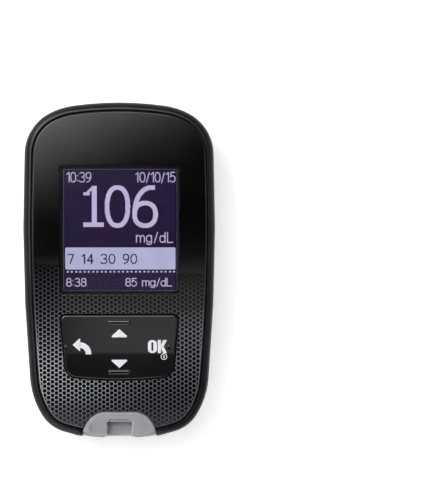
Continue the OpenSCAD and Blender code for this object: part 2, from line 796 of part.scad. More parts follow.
module usb_socket() color("#c6c8cb") {
    y0 = usb_y;
    y1 = usb_y + usb_l;
    z0 = board_top;
    z1 = board_top + usb_h;
    shell = [[-usb_w / 2, z1], [usb_w / 2, z1], [usb_w / 2, z0], [-usb_w / 2, z0]];
    radii = [0.4, 0.4, 1, 1];
    difference() {
        translate([0, y1, 0]) rotate([90, 0, 0]) linear_extrude(usb_l) polygon(rounded(shell, radii));
        translate([0, y1 + 1, 0]) rotate([90, 0, 0]) linear_extrude(usb_l)
            polygon(rounded(shell, radii, usb_wall));
    }
    // tongue with its contacts
    block([-1.9, y0 + 0.9, z0 + 1.35], [1.9, y1 - 0.6, z0 + 1.85]);
    for (i = [-2:2]) block([i * 0.65 - 0.15, y0 + 0.9, z0 + 1.27], [i * 0.65 + 0.15, y1 - 0.8, z0 + 1.36]);
}

// ---- Strip port ----

module strip_port_cover() color("#a9abad") difference() {
    reach = scoop_w / 2 + scoop_flare;
    union() {
        intersection() {
            slab(port_outline(0), port_z, cover_top);
            case_form(front_profile(cover_top, port_lean, port_lean_h, 6));
        }
        // ears under the deck and pegs down to the board
        both_sides() {
            block([port_w / 2 - 1, port_top - 4.2, deck_z - 1.2],
                [port_w / 2 + 1.4, port_top - 1.6, deck_z - fit]);
            translate([7, port_top - 2.6, board_top]) cylinder(d = 1.6, h = port_z + sink - board_top);
        }
    }
    end_cut();
    // strip trough, with the slot at its end
    block([-trough_w / 2, end_y - 1, slot_z], [trough_w / 2, trough_y, cover_top + 1]);
    block([-trough_w / 2, trough_y - 1, slot_z], [trough_w / 2, port_top + 1, slot_z + slot_h]);
    // step above the slot, and the cheeks standing a little further out than the middle
    block([-trough_w / 2 + step_in, trough_y - 1, cover_top - step_d],
        [trough_w / 2 - step_in, trough_y + step_l, cover_top + 1]);
    block([-recess_w / 2, end_y - 1, port_z - 1], [recess_w / 2, end_y + recess_d, cover_top + 1]);
    // scoop that slopes down to the end
    intersection() {
        slab([
            [-reach, end_y - 1], [-reach, scoop_y - 1.35], [-scoop_w / 2, scoop_y],
            [scoop_w / 2, scoop_y], [reach, scoop_y - 1.35], [reach, end_y - 1]
        ], slot_z, cover_top + 2);
        translate([0, scoop_y, cover_top]) rotate([scoop_slope, 0, 0]) block([-9, -9, 0], [9, 0, 5]);
    }
}

module strip_connector() color("#18181a") difference() {
    block([-connector_w / 2, connector_y, board_top], [connector_w / 2, connector_back, connector_top]);
    block([-trough_w / 2, connector_y - 1, slot_z], [trough_w / 2, strip_stop, slot_z + slot_h]);
    // ways for the ejector's bar and riser
    block([-connector_w, bar_y - eject_travel - 0.5, board_top - 1],
        [1.7, connector_back + 1, link_z + link_t + 0.3]);
    block([-1.5, bar_y - eject_travel - 0.5, link_z], [1.5, connector_back + 1, slot_z + slot_h]);
}

module strip_contacts() {
    top = slot_z + slot_h;
    y = connector_y;
    color("#d8b25a") for (i = [0:5]) strip_yz([
        [y + 3.4, top - 0.22], [y + 2.9, top - 0.32], [y + 2.2, top - 0.34], [y + 1.4, top - 0.12],
        [y + 0.5, top - 0.12]
    ], -0.12, 0.5, (i - 2.5) * 0.88);
}

module port_lights() color("#f0f0ea") both_sides() translate([7.4, port_top + 1.4, board_top]) {
    block([-0.9, -0.5, 0], [0.9, 0.5, 0.5]);
    translate([0, 0, 0.4]) cylinder(d1 = 0.9, d2 = 0.6, h = 0.4);
}

// ---- Strip ejector ----

module ejector_slider() color("#2a2a2c") difference() {
    union() {
        block([slide_face, eject_y - pad_l / 2 - 1, pad_z - 0.8],
            [block_x, eject_y + pad_l / 2 + 1, pad_z + pad_h + 0.7]);
        intersection() {
            block([-body_w, eject_y - pad_l / 2, pad_z],
                [slide_face + sink, eject_y + pad_l / 2, pad_z + pad_h]);
            slab(case_outline(0.25), pad_z - 1, pad_z + pad_h + 1);
        }
        block([block_x - sink, eject_y - block_l / 2, pad_z],
            [block_x + block_w, eject_y + block_l / 2, pad_z + 2.8]);
        // pin that the spring sits on
        translate([spring_x, spring_y + sink, spring_z]) rotate([90, 0, 0]) cylinder(d = 1.2, h = 1.8);
    }
    // grip grooves
    for (i = [-2:2]) block([-body_w, eject_y + i * grip_pitch - grip_w / 2, pad_z - 1],
        [-body_w / 2 + grip_d, eject_y + i * grip_pitch + grip_w / 2, pad_z + pad_h + 1]);
    translate([link_x + link_t / 2, eject_y, pad_z - 1]) cylinder(d = link_pin_d + fit, h = 2.4);
}

module ejector_link() color("#6e6f73") {
    // arm along the side, bar across to the connector, and a thin tongue behind the strip
    block([link_x, bar_y, link_z], [link_x + link_t, eject_y + 2, link_z + link_t]);
    block([link_x, bar_y, link_z], [1.2, bar_y + link_t, link_z + link_t]);
    block([-1.2, bar_y, link_z], [1.2, bar_y + link_t, tongue_z + tongue_t]);
    block([-1.2, strip_stop + 0.2, tongue_z], [1.2, bar_y + sink, tongue_z + tongue_t]);
    translate([link_x + link_t / 2, eject_y, link_z + link_t - sink]) cylinder(d = link_pin_d, h = 1.3);
}

// Compression spring: a six-sided tube along a helix
module ejector_spring() {
    rings = 12 * coils;
    len = spring_y - rib_y - wire_d;
    points = [
        for (k = [0:rings]) let (a = 360 * coils * k / rings) for (s = [0:5])
            let (r = (coil_d + wire_d * cos(60 * s)) / 2)
            [
                spring_x + r * cos(a), rib_y + wire_d / 2 + len * k / rings + wire_d * sin(60 * s) / 2,
                spring_z + r * sin(a)
            ]
    ];
    color("#b4b6ba") polyhedron(points, concat(
        [[for (s = [0:5]) s]],
        [
            for (k = [0:rings - 1]) for (s = [0:5]) let (a = 6 * k + s, b = 6 * k + (s + 1) % 6)
                each [[a, a + 6, b], [b, a + 6, b + 6]]
        ],
        [[for (s = [5:-1:0]) 6 * rings + s]]
    ));
}

// ---- Batteries ----

door_radii = [3, 3, 0, 0];

function door_corners() =
    [[-door_w / 2, door_y], [door_w / 2, door_y], [door_w / 2, hinge_y], [-door_w / 2, hinge_y]];

module battery_door() color("#1e1e20") difference() {
    union() {
        slab(rounded(door_corners(), door_radii), 0, door_t);
        rod_x(2 * hinge_r, -door_w / 2, door_w / 2, hinge_y, hinge_r);
        rod_x(pin_d, -door_w / 2 - pin_reach, door_w / 2 + pin_reach, hinge_y, hinge_r);
        // latch
        block([-latch_w / 2, door_y - 1.1, door_t - sink], [latch_w / 2, door_y - 0.25, door_t + latch_h]);
    }
    finger_dimple();
    // grip grooves
    for (i = [0:2]) block([-5, door_y - 4.8 - grip_w - 1.3 * i, -1], [5, door_y - 4.8 - 1.3 * i, 0.3]);
    // slits that let the latch spring
    both_sides() block([latch_w / 2 + 0.6, door_y - 3.6, -1],
        [latch_w / 2 + 0.6 + slit_w, door_y + 1, door_t + 1]);
}

module coin_cells() color("#c8cacc") for (y = cell_ys) translate([0, y, cell_z]) rotate_extrude()
    polygon([
        [0, 0], [cell_r - 0.5, 0], [cell_r - 0.15, 0.12], [cell_r, 0.45], [cell_r, cell_h - 0.55],
        [cell_r - 0.25, cell_h - 0.3], [cell_r - 1.1, cell_h - 0.25], [cell_r - 1.4, cell_h], [0, cell_h]
    ]);

module positive_contacts() color("#cfc9a8") for (y = cell_ys) strip_xz([
    [cell_r + 0.75, board_z], [cell_r + 0.75, tray_z], [cell_r + 0.15, cell_z + 2.1],
    [cell_r + 0.15, cell_z + 1.2], [cell_r + 0.6, cell_z + 0.3]
], 0.15, 3, y);

module negative_contacts() color("#cfc9a8") for (y = cell_ys) strip_yz([
    [y + 7.4, board_z], [y + 7.4, tray_z + 0.1], [y + 6.9, tray_z - 0.15], [y + 2, tray_z - 0.42],
    [y - 2, tray_z - 0.42], [y - 4, tray_z - 0.2]
], -0.15, 4);

rear_case();
front_case();
front_cover();
display_window();
window_glue();
display_seal();
display_glass();
diffuser();
light_guide();
display_frame();
display_flex();
key_plate();
key_mat();
snap_domes();
main_board();
board_screws();
microcontroller();
radio_module();
buzzer();
small_components();
flex_connector();
usb_socket();
strip_port_cover();
strip_connector();
strip_contacts();
port_lights();
ejector_slider();
ejector_link();
ejector_spring();
battery_door();
coin_cells();
positive_contacts();
negative_contacts();
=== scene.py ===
import json
import math

import bmesh
import bpy
import numpy
from mathutils import Matrix, Vector, kdtree


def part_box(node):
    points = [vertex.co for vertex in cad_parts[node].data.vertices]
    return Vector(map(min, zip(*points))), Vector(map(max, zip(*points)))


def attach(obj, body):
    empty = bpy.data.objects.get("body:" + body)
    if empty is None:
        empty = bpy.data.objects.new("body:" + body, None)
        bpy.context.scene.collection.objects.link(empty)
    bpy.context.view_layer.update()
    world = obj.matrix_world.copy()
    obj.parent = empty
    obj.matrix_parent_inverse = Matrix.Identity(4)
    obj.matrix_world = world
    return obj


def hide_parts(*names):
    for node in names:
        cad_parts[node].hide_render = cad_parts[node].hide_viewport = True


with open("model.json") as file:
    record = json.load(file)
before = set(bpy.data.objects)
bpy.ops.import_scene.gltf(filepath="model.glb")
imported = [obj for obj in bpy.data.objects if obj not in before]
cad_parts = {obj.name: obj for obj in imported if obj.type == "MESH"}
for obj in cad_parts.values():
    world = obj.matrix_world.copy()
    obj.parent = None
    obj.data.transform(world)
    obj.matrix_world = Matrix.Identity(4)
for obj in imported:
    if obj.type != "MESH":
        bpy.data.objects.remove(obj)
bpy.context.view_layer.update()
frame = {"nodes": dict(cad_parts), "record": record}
mm = 0.001
bodyOf = {node: body for body, nodes in frame["record"]["behaviour"]["bodies"].items() for node in nodes}
slotOf = {row["node"]: row["material_slot"] for row in frame["record"]["subparts"]}
print("frame loaded,", len(frame["nodes"]), "parts")


def deselectAll():
    if bpy.context.object and bpy.context.object.mode != "OBJECT":
        bpy.ops.object.mode_set(mode="OBJECT")
    bpy.ops.object.select_all(action="DESELECT")


def pickOnly(piece):
    deselectAll()
    piece.select_set(True)
    bpy.context.view_layer.objects.active = piece


def applyModifier(piece, kind, **settings):
    pickOnly(piece)
    modifier = piece.modifiers.new(kind.lower(), kind)
    for name, value in settings.items():
        setattr(modifier, name, value)
    bpy.ops.object.modifier_apply(modifier=modifier.name)


def carve(piece, cutter, operation="DIFFERENCE", solver="EXACT"):
    applyModifier(piece, "BOOLEAN", object=cutter, operation=operation, solver=solver)
    bpy.data.objects.remove(cutter)


def roundEdges(piece, width, segments=2, angle=40):
    applyModifier(
        piece, "BEVEL", width=width * mm, segments=segments, limit_method="ANGLE",
        angle_limit=math.radians(angle), harden_normals=False, use_clamp_overlap=True,
    )


def smoothFaces(piece, angle=30):
    pickOnly(piece)
    bpy.ops.object.shade_smooth_by_angle(angle=math.radians(angle))
    # keeps the large flat faces flat next to rounded edges
    applyModifier(piece, "WEIGHTED_NORMAL", keep_sharp=True)


def editAll(piece):
    pickOnly(piece)
    bpy.ops.object.mode_set(mode="EDIT")
    bpy.ops.mesh.select_all(action="SELECT")


# Rings of points in mm: a filled circle is laid on the first ring and extruded from ring to ring
def stackRings(name, rings):
    deselectAll()
    bpy.ops.mesh.primitive_circle_add(vertices=len(rings[0]), radius=mm, fill_type="NGON")
    piece = bpy.context.object
    piece.name = piece.data.name = name
    for vertex, point in zip(piece.data.vertices, rings[0]):
        vertex.co = Vector(point) * mm
    editAll(piece)
    for lower, upper in zip(rings, rings[1:]):
        spots = kdtree.KDTree(len(lower))
        for index, point in enumerate(lower):
            spots.insert(Vector(point) * mm, index)
        spots.balance()
        bpy.ops.mesh.extrude_region_move()
        shape = bmesh.from_edit_mesh(piece.data)
        for vertex in shape.verts:
            if vertex.select:
                vertex.co = Vector(upper[spots.find(vertex.co)[1]]) * mm
        bmesh.update_edit_mesh(piece.data)
    bpy.ops.mesh.select_all(action="SELECT")
    bpy.ops.mesh.normals_make_consistent(inside=False)
    bpy.ops.object.mode_set(mode="OBJECT")
    return piece


def atHeight(outline, z):
    return [(x, y, z) for x, y in outline]


def plate(name, outline, low, high):
    return stackRings(name, [atHeight(outline, low), atHeight(outline, high)])


def boxPiece(name, low, high):
    corners = [(low[0], low[1]), (low[0], high[1]), (high[0], high[1]), (high[0], low[1])]
    return plate(name, corners, low[2], high[2])


def joinPieces(name, pieces):
    pickOnly(pieces[0])
    for piece in pieces[1:]:
        piece.select_set(True)
    if len(pieces) > 1:
        bpy.ops.object.join()
    joined = bpy.context.object
    joined.name = joined.data.name = name
    return joined


def filletCorner(before, corner, after, radius, steps=6):
    u, v = (before - corner).normalized(), (after - corner).normalized()
    half = u.angle(v) / 2
    centre = corner + (u + v).normalized() * radius / math.sin(half)
    start = corner + u * radius / math.tan(half) - centre
    end = corner + v * radius / math.tan(half) - centre
    first = math.atan2(start.y, start.x)
    swing = math.atan2(start.x * end.y - start.y * end.x, start.dot(end))
    turns = [first + swing * i / steps for i in range(steps + 1)]
    return [(centre.x + radius * math.cos(a), centre.y + radius * math.sin(a)) for a in turns]


leastRadius = 0.03  # mm, of a corner whose radius an inset has used up


# A convex outline with rounded corners, set in by inset
def roundedOutline(corners, radii, inset=0, steps=6):
    corners = [Vector(corner) for corner in corners]
    moved = []
    for i, corner in enumerate(corners):
        u, v = (corners[i - 1] - corner).normalized(), (corners[(i + 1) % len(corners)] - corner).normalized()
        moved.append(corner + (u + v).normalized() * inset / math.sin(u.angle(v) / 2))
    points = []
    for i, corner in enumerate(moved):
        radius = max(radii[i] - inset, leastRadius)
        points += filletCorner(moved[i - 1], corner, moved[(i + 1) % len(moved)], radius, steps)
    return points


def roundedBox(box, radius, inset=0, steps=6):
    (left, low), (right, high) = box
    corners = [(left, high), (right, high), (right, low), (left, low)]
    return roundedOutline(corners, [radius] * 4, inset, steps)


def circlePoints(centre, radius, first=0, last=360, steps=24):
    points = []
    for i in range(steps if last - first == 360 else steps + 1):
        a = math.radians(first + (last - first) * i / steps)
        points.append((centre[0] + radius * math.cos(a), centre[1] + radius * math.sin(a)))
    return points


# Rings that round a piece's upper edge over; outlineAt gives its outline for an inset
def roundOver(outlineAt, radius, top, steps=5):
    turns = [math.pi / 2 * i / steps for i in range(steps + 1)]
    return [atHeight(outlineAt(radius * (1 - math.cos(a))), top - radius * (1 - math.sin(a))) for a in turns]


def nodeBox(name):
    low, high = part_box(name)
    return Vector(low) / mm, Vector(high) / mm


# The case outline is seven tangent arcs a side, from the middle of the USB end to the strip end
caseShape = dict(
    turns=[8, 19.7, 60, 7.2, 26.5, 40.6, 18],  # degrees of each arc
    steps=[4, 8, 20, 8, 12, 16, 8],
    shoulder=17.6, topCorner=11.3, hip=20, lowCorner=9.3,  # radii that are given
    endFlat=0.6,  # how much of the rounded strip end is cut flat
)
caseLow, caseHigh = nodeBox("rear_case")
caseWidth = caseHigh.x - caseLow.x
caseTop, caseEnd = caseHigh.y, caseLow.y


def solveArcs(shape):
    heads = [math.radians(sum(shape["turns"][:i])) for i in range(8)]
    s, c = [math.sin(a) for a in heads], [math.cos(a) for a in heads]
    shoulder, corner, hip, low = (shape[k] for k in ("shoulder", "topCorner", "hip", "lowCorner"))
    length = caseTop - caseEnd + shape["endFlat"]
    rows = Matrix((
        (s[1], 1 - s[3], 0),
        (0, s[4] - 1, -s[6]),
        (1 - c[1], c[3] - c[4], c[6] + 1),
    ))
    known = Vector((
        caseWidth / 2 - shoulder * (s[2] - s[1]) - corner * (s[3] - s[2]),
        -caseWidth / 2 - hip * (s[5] - s[4]) - low * (s[6] - s[5]),
        length - shoulder * (c[1] - c[2]) - corner * (c[2] - c[3]) - hip * (c[4] - c[5]) - low * (c[5] - c[6]),
    ))
    first, side, last = rows.inverted() @ known
    return heads, [first, shoulder, corner, side, hip, low, last]


arcHeads, arcRadii = solveArcs(caseShape)


def caseOutline(inset):
    right, x, y = [], 0, caseTop - inset
    for head, turn, radius, steps in zip(arcHeads, caseShape["turns"], arcRadii, caseShape["steps"]):
        bend = radius - inset
        for k in range(steps):
            a = head + math.radians(turn) * k / steps
            right.append((x + bend * (math.sin(a) - math.sin(head)), y + bend * (math.cos(a) - math.cos(head))))
        a = head + math.radians(turn)
        x += bend * (math.sin(a) - math.sin(head))
        y += bend * (math.cos(a) - math.cos(head))
    return right + [(0, y)] + [(-px, py) for px, py in reversed(right[1:])]


print("helpers ready, side radii", [round(r, 2) for r in arcRadii])


def linearColour(hexCode):
    parts = [int(hexCode[i:i + 2], 16) / 255 for i in (1, 3, 5)]
    return tuple(p / 12.92 if p <= 0.04045 else ((p + 0.055) / 1.055) ** 2.4 for p in parts) + (1,)


def addNode(tree, kind, inputs=None, **settings):
    node = tree.nodes.new("ShaderNode" + kind)
    for name, value in settings.items():
        setattr(node, name, value)
    for name, value in (inputs or {}).items():
        if isinstance(value, bpy.types.NodeSocket):
            tree.links.new(value, node.inputs[name])
        else:
            node.inputs[name].default_value = value
    return node


def newMaterial(name):
    material = bpy.data.materials.new(name)
    material.use_nodes = True
    tree = material.node_tree
    shader = tree.nodes["Principled BSDF"]
    place = addNode(tree, "TexCoord").outputs["Object"]
    return material, tree, shader, place


def setShader(shader, **values):
    for name, value in values.items():
        shader.inputs[name.replace("_", " ")].default_value = value


def mixColours(tree, factor, first, second):  # sockets 6 and 7 are the two colours
    return addNode(tree, "Mix", {"Factor": factor, 6: first, 7: second}, data_type="RGBA").outputs[2]


def setStops(ramp, stops):
    elements = ramp.color_ramp.elements
    for i, (position, colour) in enumerate(stops):
        stop = elements[i] if i < 2 else elements.new(position)
        stop.position = position
        stop.color = linearColour(colour)


# Common start of every moulded, rolled or printed surface: two shades that drift into each other,
# uneven gloss, and a fine grain whose size and depth are real millimetres
def surface(name, dark, light, roughness, spread, grain, depth, ior=1.5, metallic=0, blotch=6.0,
            stretch=(1, 1, 1), sheen=0.5):
    material, tree, shader, place = newMaterial(name)
    place = addNode(tree, "Mapping", {"Vector": place, "Scale": stretch}).outputs[0]
    drift = addNode(tree, "TexNoise", {"Vector": place, "Scale": 1 / (blotch * mm), "Detail": 3})
    ramp = addNode(tree, "ValToRGB", {"Fac": drift.outputs["Fac"]})
    setStops(ramp, [(0.35, dark), (0.65, light)])
    gloss = addNode(tree, "MapRange", {
        "Value": drift.outputs["Fac"], "From Min": 0.3, "From Max": 0.7,
        "To Min": roughness - spread, "To Max": roughness + spread,
    })
    texture = addNode(tree, "TexNoise", {"Vector": place, "Scale": 1 / (grain * mm), "Detail": 2})
    bump = addNode(tree, "Bump", {"Height": texture.outputs["Fac"], "Distance": depth * mm, "Strength": 1})
    tree.links.new(ramp.outputs["Color"], shader.inputs["Base Color"])
    tree.links.new(gloss.outputs["Result"], shader.inputs["Roughness"])
    tree.links.new(bump.outputs["Normal"], shader.inputs["Normal"])
    setShader(shader, IOR=ior, Metallic=metallic, Specular_IOR_Level=sheen)
    return material


# ABS, moulded in a satin polished mould: a soft, broad sheen along every rounding
satinAbs = surface("satinAbs", "#151416", "#1a191b", 0.33, 0.03, 0.16, 0.004, ior=1.5, sheen=0.4)
# ABS, moulded in a spark eroded mould: a fine even grain that breaks up the light
sparkErodedAbs = surface("sparkErodedAbs", "#1c1c1e", "#232325", 0.55, 0.05, 0.22, 0.03, ior=1.54)
# Black polycarbonate, moulded and left as it is, inside the case
mouldedPolycarbonate = surface("mouldedPolycarbonate", "#141415", "#1b1b1c", 0.45, 0.06, 0.4, 0.01, ior=1.58)
# Acrylic foam tape, die cut: dead black and slightly lumpy. The same black also lies at the bottom of the
# groove round the cover as painted shade
foamTapeAndGrooveShade = surface("foamTapeAndGrooveShade", "#0b0b0b", "#131313", 0.85, 0.05, 0.3, 0.03, ior=1.47)
# Open cell urethane foam, die cut: black, with pores of about a quarter of a millimetre
urethaneFoam = surface("urethaneFoam", "#0e0e0f", "#1b1b1d", 0.95, 0.03, 0.25, 0.08, ior=1.45, blotch=0.6)
# PET film, coated white and matte, that spreads the back light
diffuserFilm = surface("diffuserFilm", "#e2e3e6", "#ededf0", 0.7, 0.05, 0.2, 0.004, ior=1.57)
# Silicone rubber, moulded: grey, soft and a little dusty
greySilicone = surface("greySilicone", "#858589", "#8f8f93", 0.62, 0.06, 0.3, 0.01, ior=1.43)
# Stainless steel, rolled and stamped: long fine rolling lines
rolledStainless = surface("rolledStainless", "#b9babd", "#c9cacd", 0.26, 0.06, 0.5, 0.004, metallic=1, blotch=3,
                          stretch=(0.06, 1, 1))
# Steel screws, cold headed and black passivated
passivatedSteel = surface("passivatedSteel", "#4b4b4e", "#5b5b5f", 0.4, 0.06, 0.3, 0.006, metallic=1, blotch=1)
# Tinplate, drawn over a die: bright, with slight waves
drawnTinplate = surface("drawnTinplate", "#bcbfc2", "#cfd1d3", 0.3, 0.07, 0.8, 0.006, metallic=1, blotch=2)
# Epoxy mould compound of the chips, matte from the blasted mould
mouldedEpoxy = surface("mouldedEpoxy", "#171719", "#202022", 0.65, 0.06, 0.15, 0.01, ior=1.55)
# Barium titanate ceramic, fired: tan and dull
firedCeramic = surface("firedCeramic", "#8d7256", "#a1876a", 0.5, 0.08, 0.2, 0.006, ior=1.6, blotch=1)
# Nylon connector housing, moulded with glass fibre: ivory, with faint flow marks
ivoryNylon = surface("ivoryNylon", "#d3ccb8", "#dfd9c8", 0.5, 0.06, 0.3, 0.008, ior=1.53, stretch=(0.3, 1, 1))
# Liquid crystal polymer connector, moulded: black with grey flow lines
flowedPolymer = surface("flowedPolymer", "#131314", "#1e1e20", 0.4, 0.05, 0.3, 0.006, ior=1.6,
                        stretch=(0.2, 1, 1))
# Phosphor bronze, stamped and gold plated
goldPlatedBronze = surface("goldPlatedBronze", "#c99b3f", "#dcb35a", 0.24, 0.05, 0.2, 0.003, metallic=1,
                           blotch=1)
# Phosphor bronze, stamped and nickel plated: warm silver with fine drawing lines
nickelPlatedBronze = surface("nickelPlatedBronze", "#b5aea0", "#c7c1b4", 0.28, 0.06, 0.3, 0.004, metallic=1,
                             blotch=2, stretch=(0.15, 1, 1))
# Acetal, moulded: dark grey and slightly waxy
mouldedAcetal = surface("mouldedAcetal", "#3a3b3e", "#434447", 0.38, 0.05, 0.5, 0.004, ior=1.48)
# White two-component ink, screen printed on the keys: matte, and thick enough to have an edge
whiteKeyInk = surface("whiteKeyInk", "#f8f7fa", "#fdfcff", 0.5, 0.05, 0.12, 0.004, blotch=1)
# ABS keys, moulded and lacquered: two clear glints for every rounding, so they look wetter than the case
glossAbsKeys = surface("glossAbsKeys", "#111112", "#151516", 0.09, 0.01, 0.5, 0.0005, ior=1.54, blotch=12)
setShader(glossAbsKeys.node_tree.nodes["Principled BSDF"], Coat_Weight=1, Coat_Roughness=0.06)
# Grey ink, screen printed on the window's underside: it touches the window all over, so it has
# no sheen of its own
borderInk = surface("borderInk", "#201f22", "#262429", 0.4, 0.04, 0.12, 0.002, blotch=4, sheen=0.05)
# The same ink printed once more as a thin line: a little lighter, with violet light from the display in it
borderLineInk = surface("borderLineInk", "#5c5868", "#656172", 0.4, 0.04, 0.12, 0.002, blotch=2, sheen=0.05)
# Black polycarbonate, moulded and polished: the bare edges of the front cover, with one thin line of light
polishedPolycarbonate = surface("polishedPolycarbonate", "#080809", "#0b0b0c", 0.08, 0.02, 0.5, 0.001, ior=1.58)
print("plain materials ready")

# Tones of the honeycomb ink from its upper edge to the strip end: share of the way down, then colour. The ink
# fading in from the black below the display is print; the band of brightest tones low down, the dimming below
# it and the lighter left side are painted sheen of light from the lower left
honeycombInkAndSheen = dict(
    upper=4, lower=-38,  # mm, where the print starts and ends
    acrossFrom=-19, acrossTo=12,  # mm, where the left tones begin to turn into the right ones, and end
    left=[(0, "#060607"), (0.1, "#2a2a2c"), (0.28, "#515154"), (0.42, "#77777a"), (0.67, "#c2c2c5"),
          (0.8, "#b0b0b3"), (0.9, "#7c7c7f"), (1, "#636366")],
    right=[(0, "#040405"), (0.14, "#19191b"), (0.3, "#3e3e40"), (0.44, "#767679"), (0.64, "#77777a"),
           (0.8, "#606063"), (1, "#535356")],
    cells=[(0, "#020202"), (0.8, "#020203"), (0.9, "#19191a"), (1, "#39393b")],
)


def downTheFace(tree, place):
    ink = honeycombInkAndSheen
    spot = addNode(tree, "SeparateXYZ", {"Vector": place})
    down = addNode(tree, "MapRange", {
        "Value": spot.outputs["Y"], "From Min": ink["upper"] * mm, "From Max": ink["lower"] * mm,
    })
    across = addNode(tree, "MapRange", {
        "Value": spot.outputs["X"], "From Min": ink["acrossFrom"] * mm, "From Max": ink["acrossTo"] * mm,
    }, interpolation_type="SMOOTHSTEP")
    return down.outputs[0], across.outputs[0]


# Roughness that drifts between two values over patches of a size in mm
def unevenGloss(tree, shader, place, size, low, high, detail=2):
    haze = addNode(tree, "TexNoise", {"Vector": place, "Scale": 1 / (size * mm), "Detail": detail})
    gloss = addNode(tree, "MapRange", {"Value": haze.outputs["Fac"], "To Min": low, "To Max": high})
    tree.links.new(gloss.outputs[0], shader.inputs["Roughness"])


# Polycarbonate face, inked from behind: deep black gloss, and below the display a metallic grey ink between the
# cells, which grows out of the black.
# Its colour also holds painted sheen: brightest in a band low on the left, dimmer below it towards the strip
# end, and dimmer to the right
def buildInkAndSheenPolycarbonate():
    material, tree, shader, place = newMaterial("inkAndSheenPolycarbonate")
    down, across = downTheFace(tree, place)
    tones = []
    for side in ("left", "right"):
        ramp = addNode(tree, "ValToRGB", {"Fac": down})
        setStops(ramp, honeycombInkAndSheen[side])
        tones.append(ramp.outputs["Color"])
    tree.links.new(mixColours(tree, across, *tones), shader.inputs["Base Color"])
    unevenGloss(tree, shader, place, 9, 0.04, 0.09, detail=3)
    setShader(shader, IOR=1.58)
    return material


# The same face in the pressed cells: black, with a slightly clouded gloss that only mirrors what is overhead
def buildCellInk():
    material, tree, shader, place = newMaterial("cellInk")
    ramp = addNode(tree, "ValToRGB", {"Fac": downTheFace(tree, place)[0]})
    setStops(ramp, honeycombInkAndSheen["cells"])
    tree.links.new(ramp.outputs["Color"], shader.inputs["Base Color"])
    unevenGloss(tree, shader, place, 0.5, 0.05, 0.11)
    setShader(shader, IOR=1.5)
    return material


# Polycarbonate with a little white, moulded: light goes in at its edges and softens the shadows
def buildFrostedPolycarbonate():
    material = surface("frostedGreyPolycarbonate", "#a9a9ac", "#b2b2b5", 0.4, 0.04, 0.25, 0.004, ior=1.58)
    setShader(material.node_tree.nodes["Principled BSDF"], Subsurface_Weight=1, Subsurface_Radius=(1, 1, 1),
              Subsurface_Scale=2.6 * mm)
    return material


# Acrylic sheet, cast and laser cut: clear, with barely any haze
def buildCastAcrylic(name, tint, low, high, ior=1.49):
    material, tree, shader, place = newMaterial(name)
    setShader(shader, Base_Color=linearColour(tint), Transmission_Weight=1, IOR=ior)
    unevenGloss(tree, shader, place, 7, low, high)
    return material


# Liquid crystal cell under its polarizer film, lit from behind: a glow that is slightly clouded over
# patches of a size in mm, with hardly any sheen of its own
def buildGlow(name, base, dark, light, size, **values):
    material, tree, shader, place = newMaterial(name)
    cloud = addNode(tree, "TexNoise", {"Vector": place, "Scale": 1 / (size * mm), "Detail": 2})
    ramp = addNode(tree, "ValToRGB", {"Fac": cloud.outputs["Fac"]})
    setStops(ramp, [(0.35, dark), (0.65, light)])
    tree.links.new(ramp.outputs["Color"], shader.inputs["Emission Color"])
    setShader(shader, Base_Color=linearColour(base), Specular_IOR_Level=0.1, **values)
    return material


# Copper tracks in a fine pattern: their colour and the surface's own, in the order that the pattern needs
def addTracks(material, kind, inputs, colour, colourFirst=False, **settings):
    tree = material.node_tree
    place = tree.nodes["Texture Coordinate"].outputs["Object"]
    tracks = addNode(tree, kind, {"Vector": place, **inputs}, **settings)
    base = tree.nodes["Principled BSDF"].inputs["Base Color"]
    tones = [base.links[0].from_socket, linearColour(colour)]
    if colourFirst:
        tones.reverse()
    tree.links.new(mixColours(tree, tracks.outputs["Fac"], *tones), base)


# Glass fibre board under green solder mask: copper tracks show through as lighter lines
def buildSolderMask():
    material = surface("solderMask", "#0d3d22", "#124a2a", 0.3, 0.05, 0.5, 0.006)
    addTracks(material, "TexBrick", {
        "Scale": 1 / (6 * mm), "Mortar Size": 0.03, "Mortar Smooth": 0.1, "Brick Width": 0.9, "Row Height": 0.3,
    }, "#2b6b45", offset=0.37)
    return material


# Polyimide film with copper tracks, etched: amber with fine darker lines along its length
def buildPolyimide():
    material = surface("polyimideFilm", "#a8560e", "#bf6b18", 0.25, 0.04, 0.3, 0.003, ior=1.7)
    addTracks(material, "TexWave", {"Scale": 1 / (4 * mm)}, "#6e3208", colourFirst=True)
    return material


inkAndSheenPolycarbonate = buildInkAndSheenPolycarbonate()
cellInk = buildCellInk()
frostedGreyPolycarbonate = buildFrostedPolycarbonate()
# The window's coating swallows most reflections, which a low IOR stands for
castAcrylic = buildCastAcrylic("castAcrylic", "#efecf6", 0.01, 0.03, ior=1.22)
lightGuideAcrylic = buildCastAcrylic("lightGuideAcrylic", "#f2f4f7", 0.05, 0.2)
# The ground of the display glows dark violet, and its switched pixels let the back light through pale violet
displayPolarizer = buildGlow("displayPolarizer", "#0c0a14", "#1f1a39", "#2a1d38", 9,
                             Emission_Strength=0.9, Roughness=0.2, IOR=1.5)
litPixels = buildGlow("litPixels", "#14121c", "#c2bcda", "#cac5e0", 6, Emission_Strength=1, Roughness=0.3)
litBarPixels = buildGlow("litBarPixels", "#14121c", "#b7b8d5", "#bec2db", 6, Emission_Strength=1, Roughness=0.3)
nodeMaterials = {
    "window_glue": foamTapeAndGrooveShade, "display_seal": urethaneFoam, "display_glass": displayPolarizer,
    "diffuser": diffuserFilm, "light_guide": lightGuideAcrylic, "display_flex": buildPolyimide(),
    "key_mat": greySilicone, "snap_domes": rolledStainless, "main_board": buildSolderMask(),
    "board_screws": passivatedSteel, "microcontroller": mouldedEpoxy, "radio_module": drawnTinplate,
    "small_components": firedCeramic, "flex_connector": ivoryNylon, "port_lights": lightGuideAcrylic,
    "ejector_link": mouldedAcetal, "ejector_spring": rolledStainless,
}
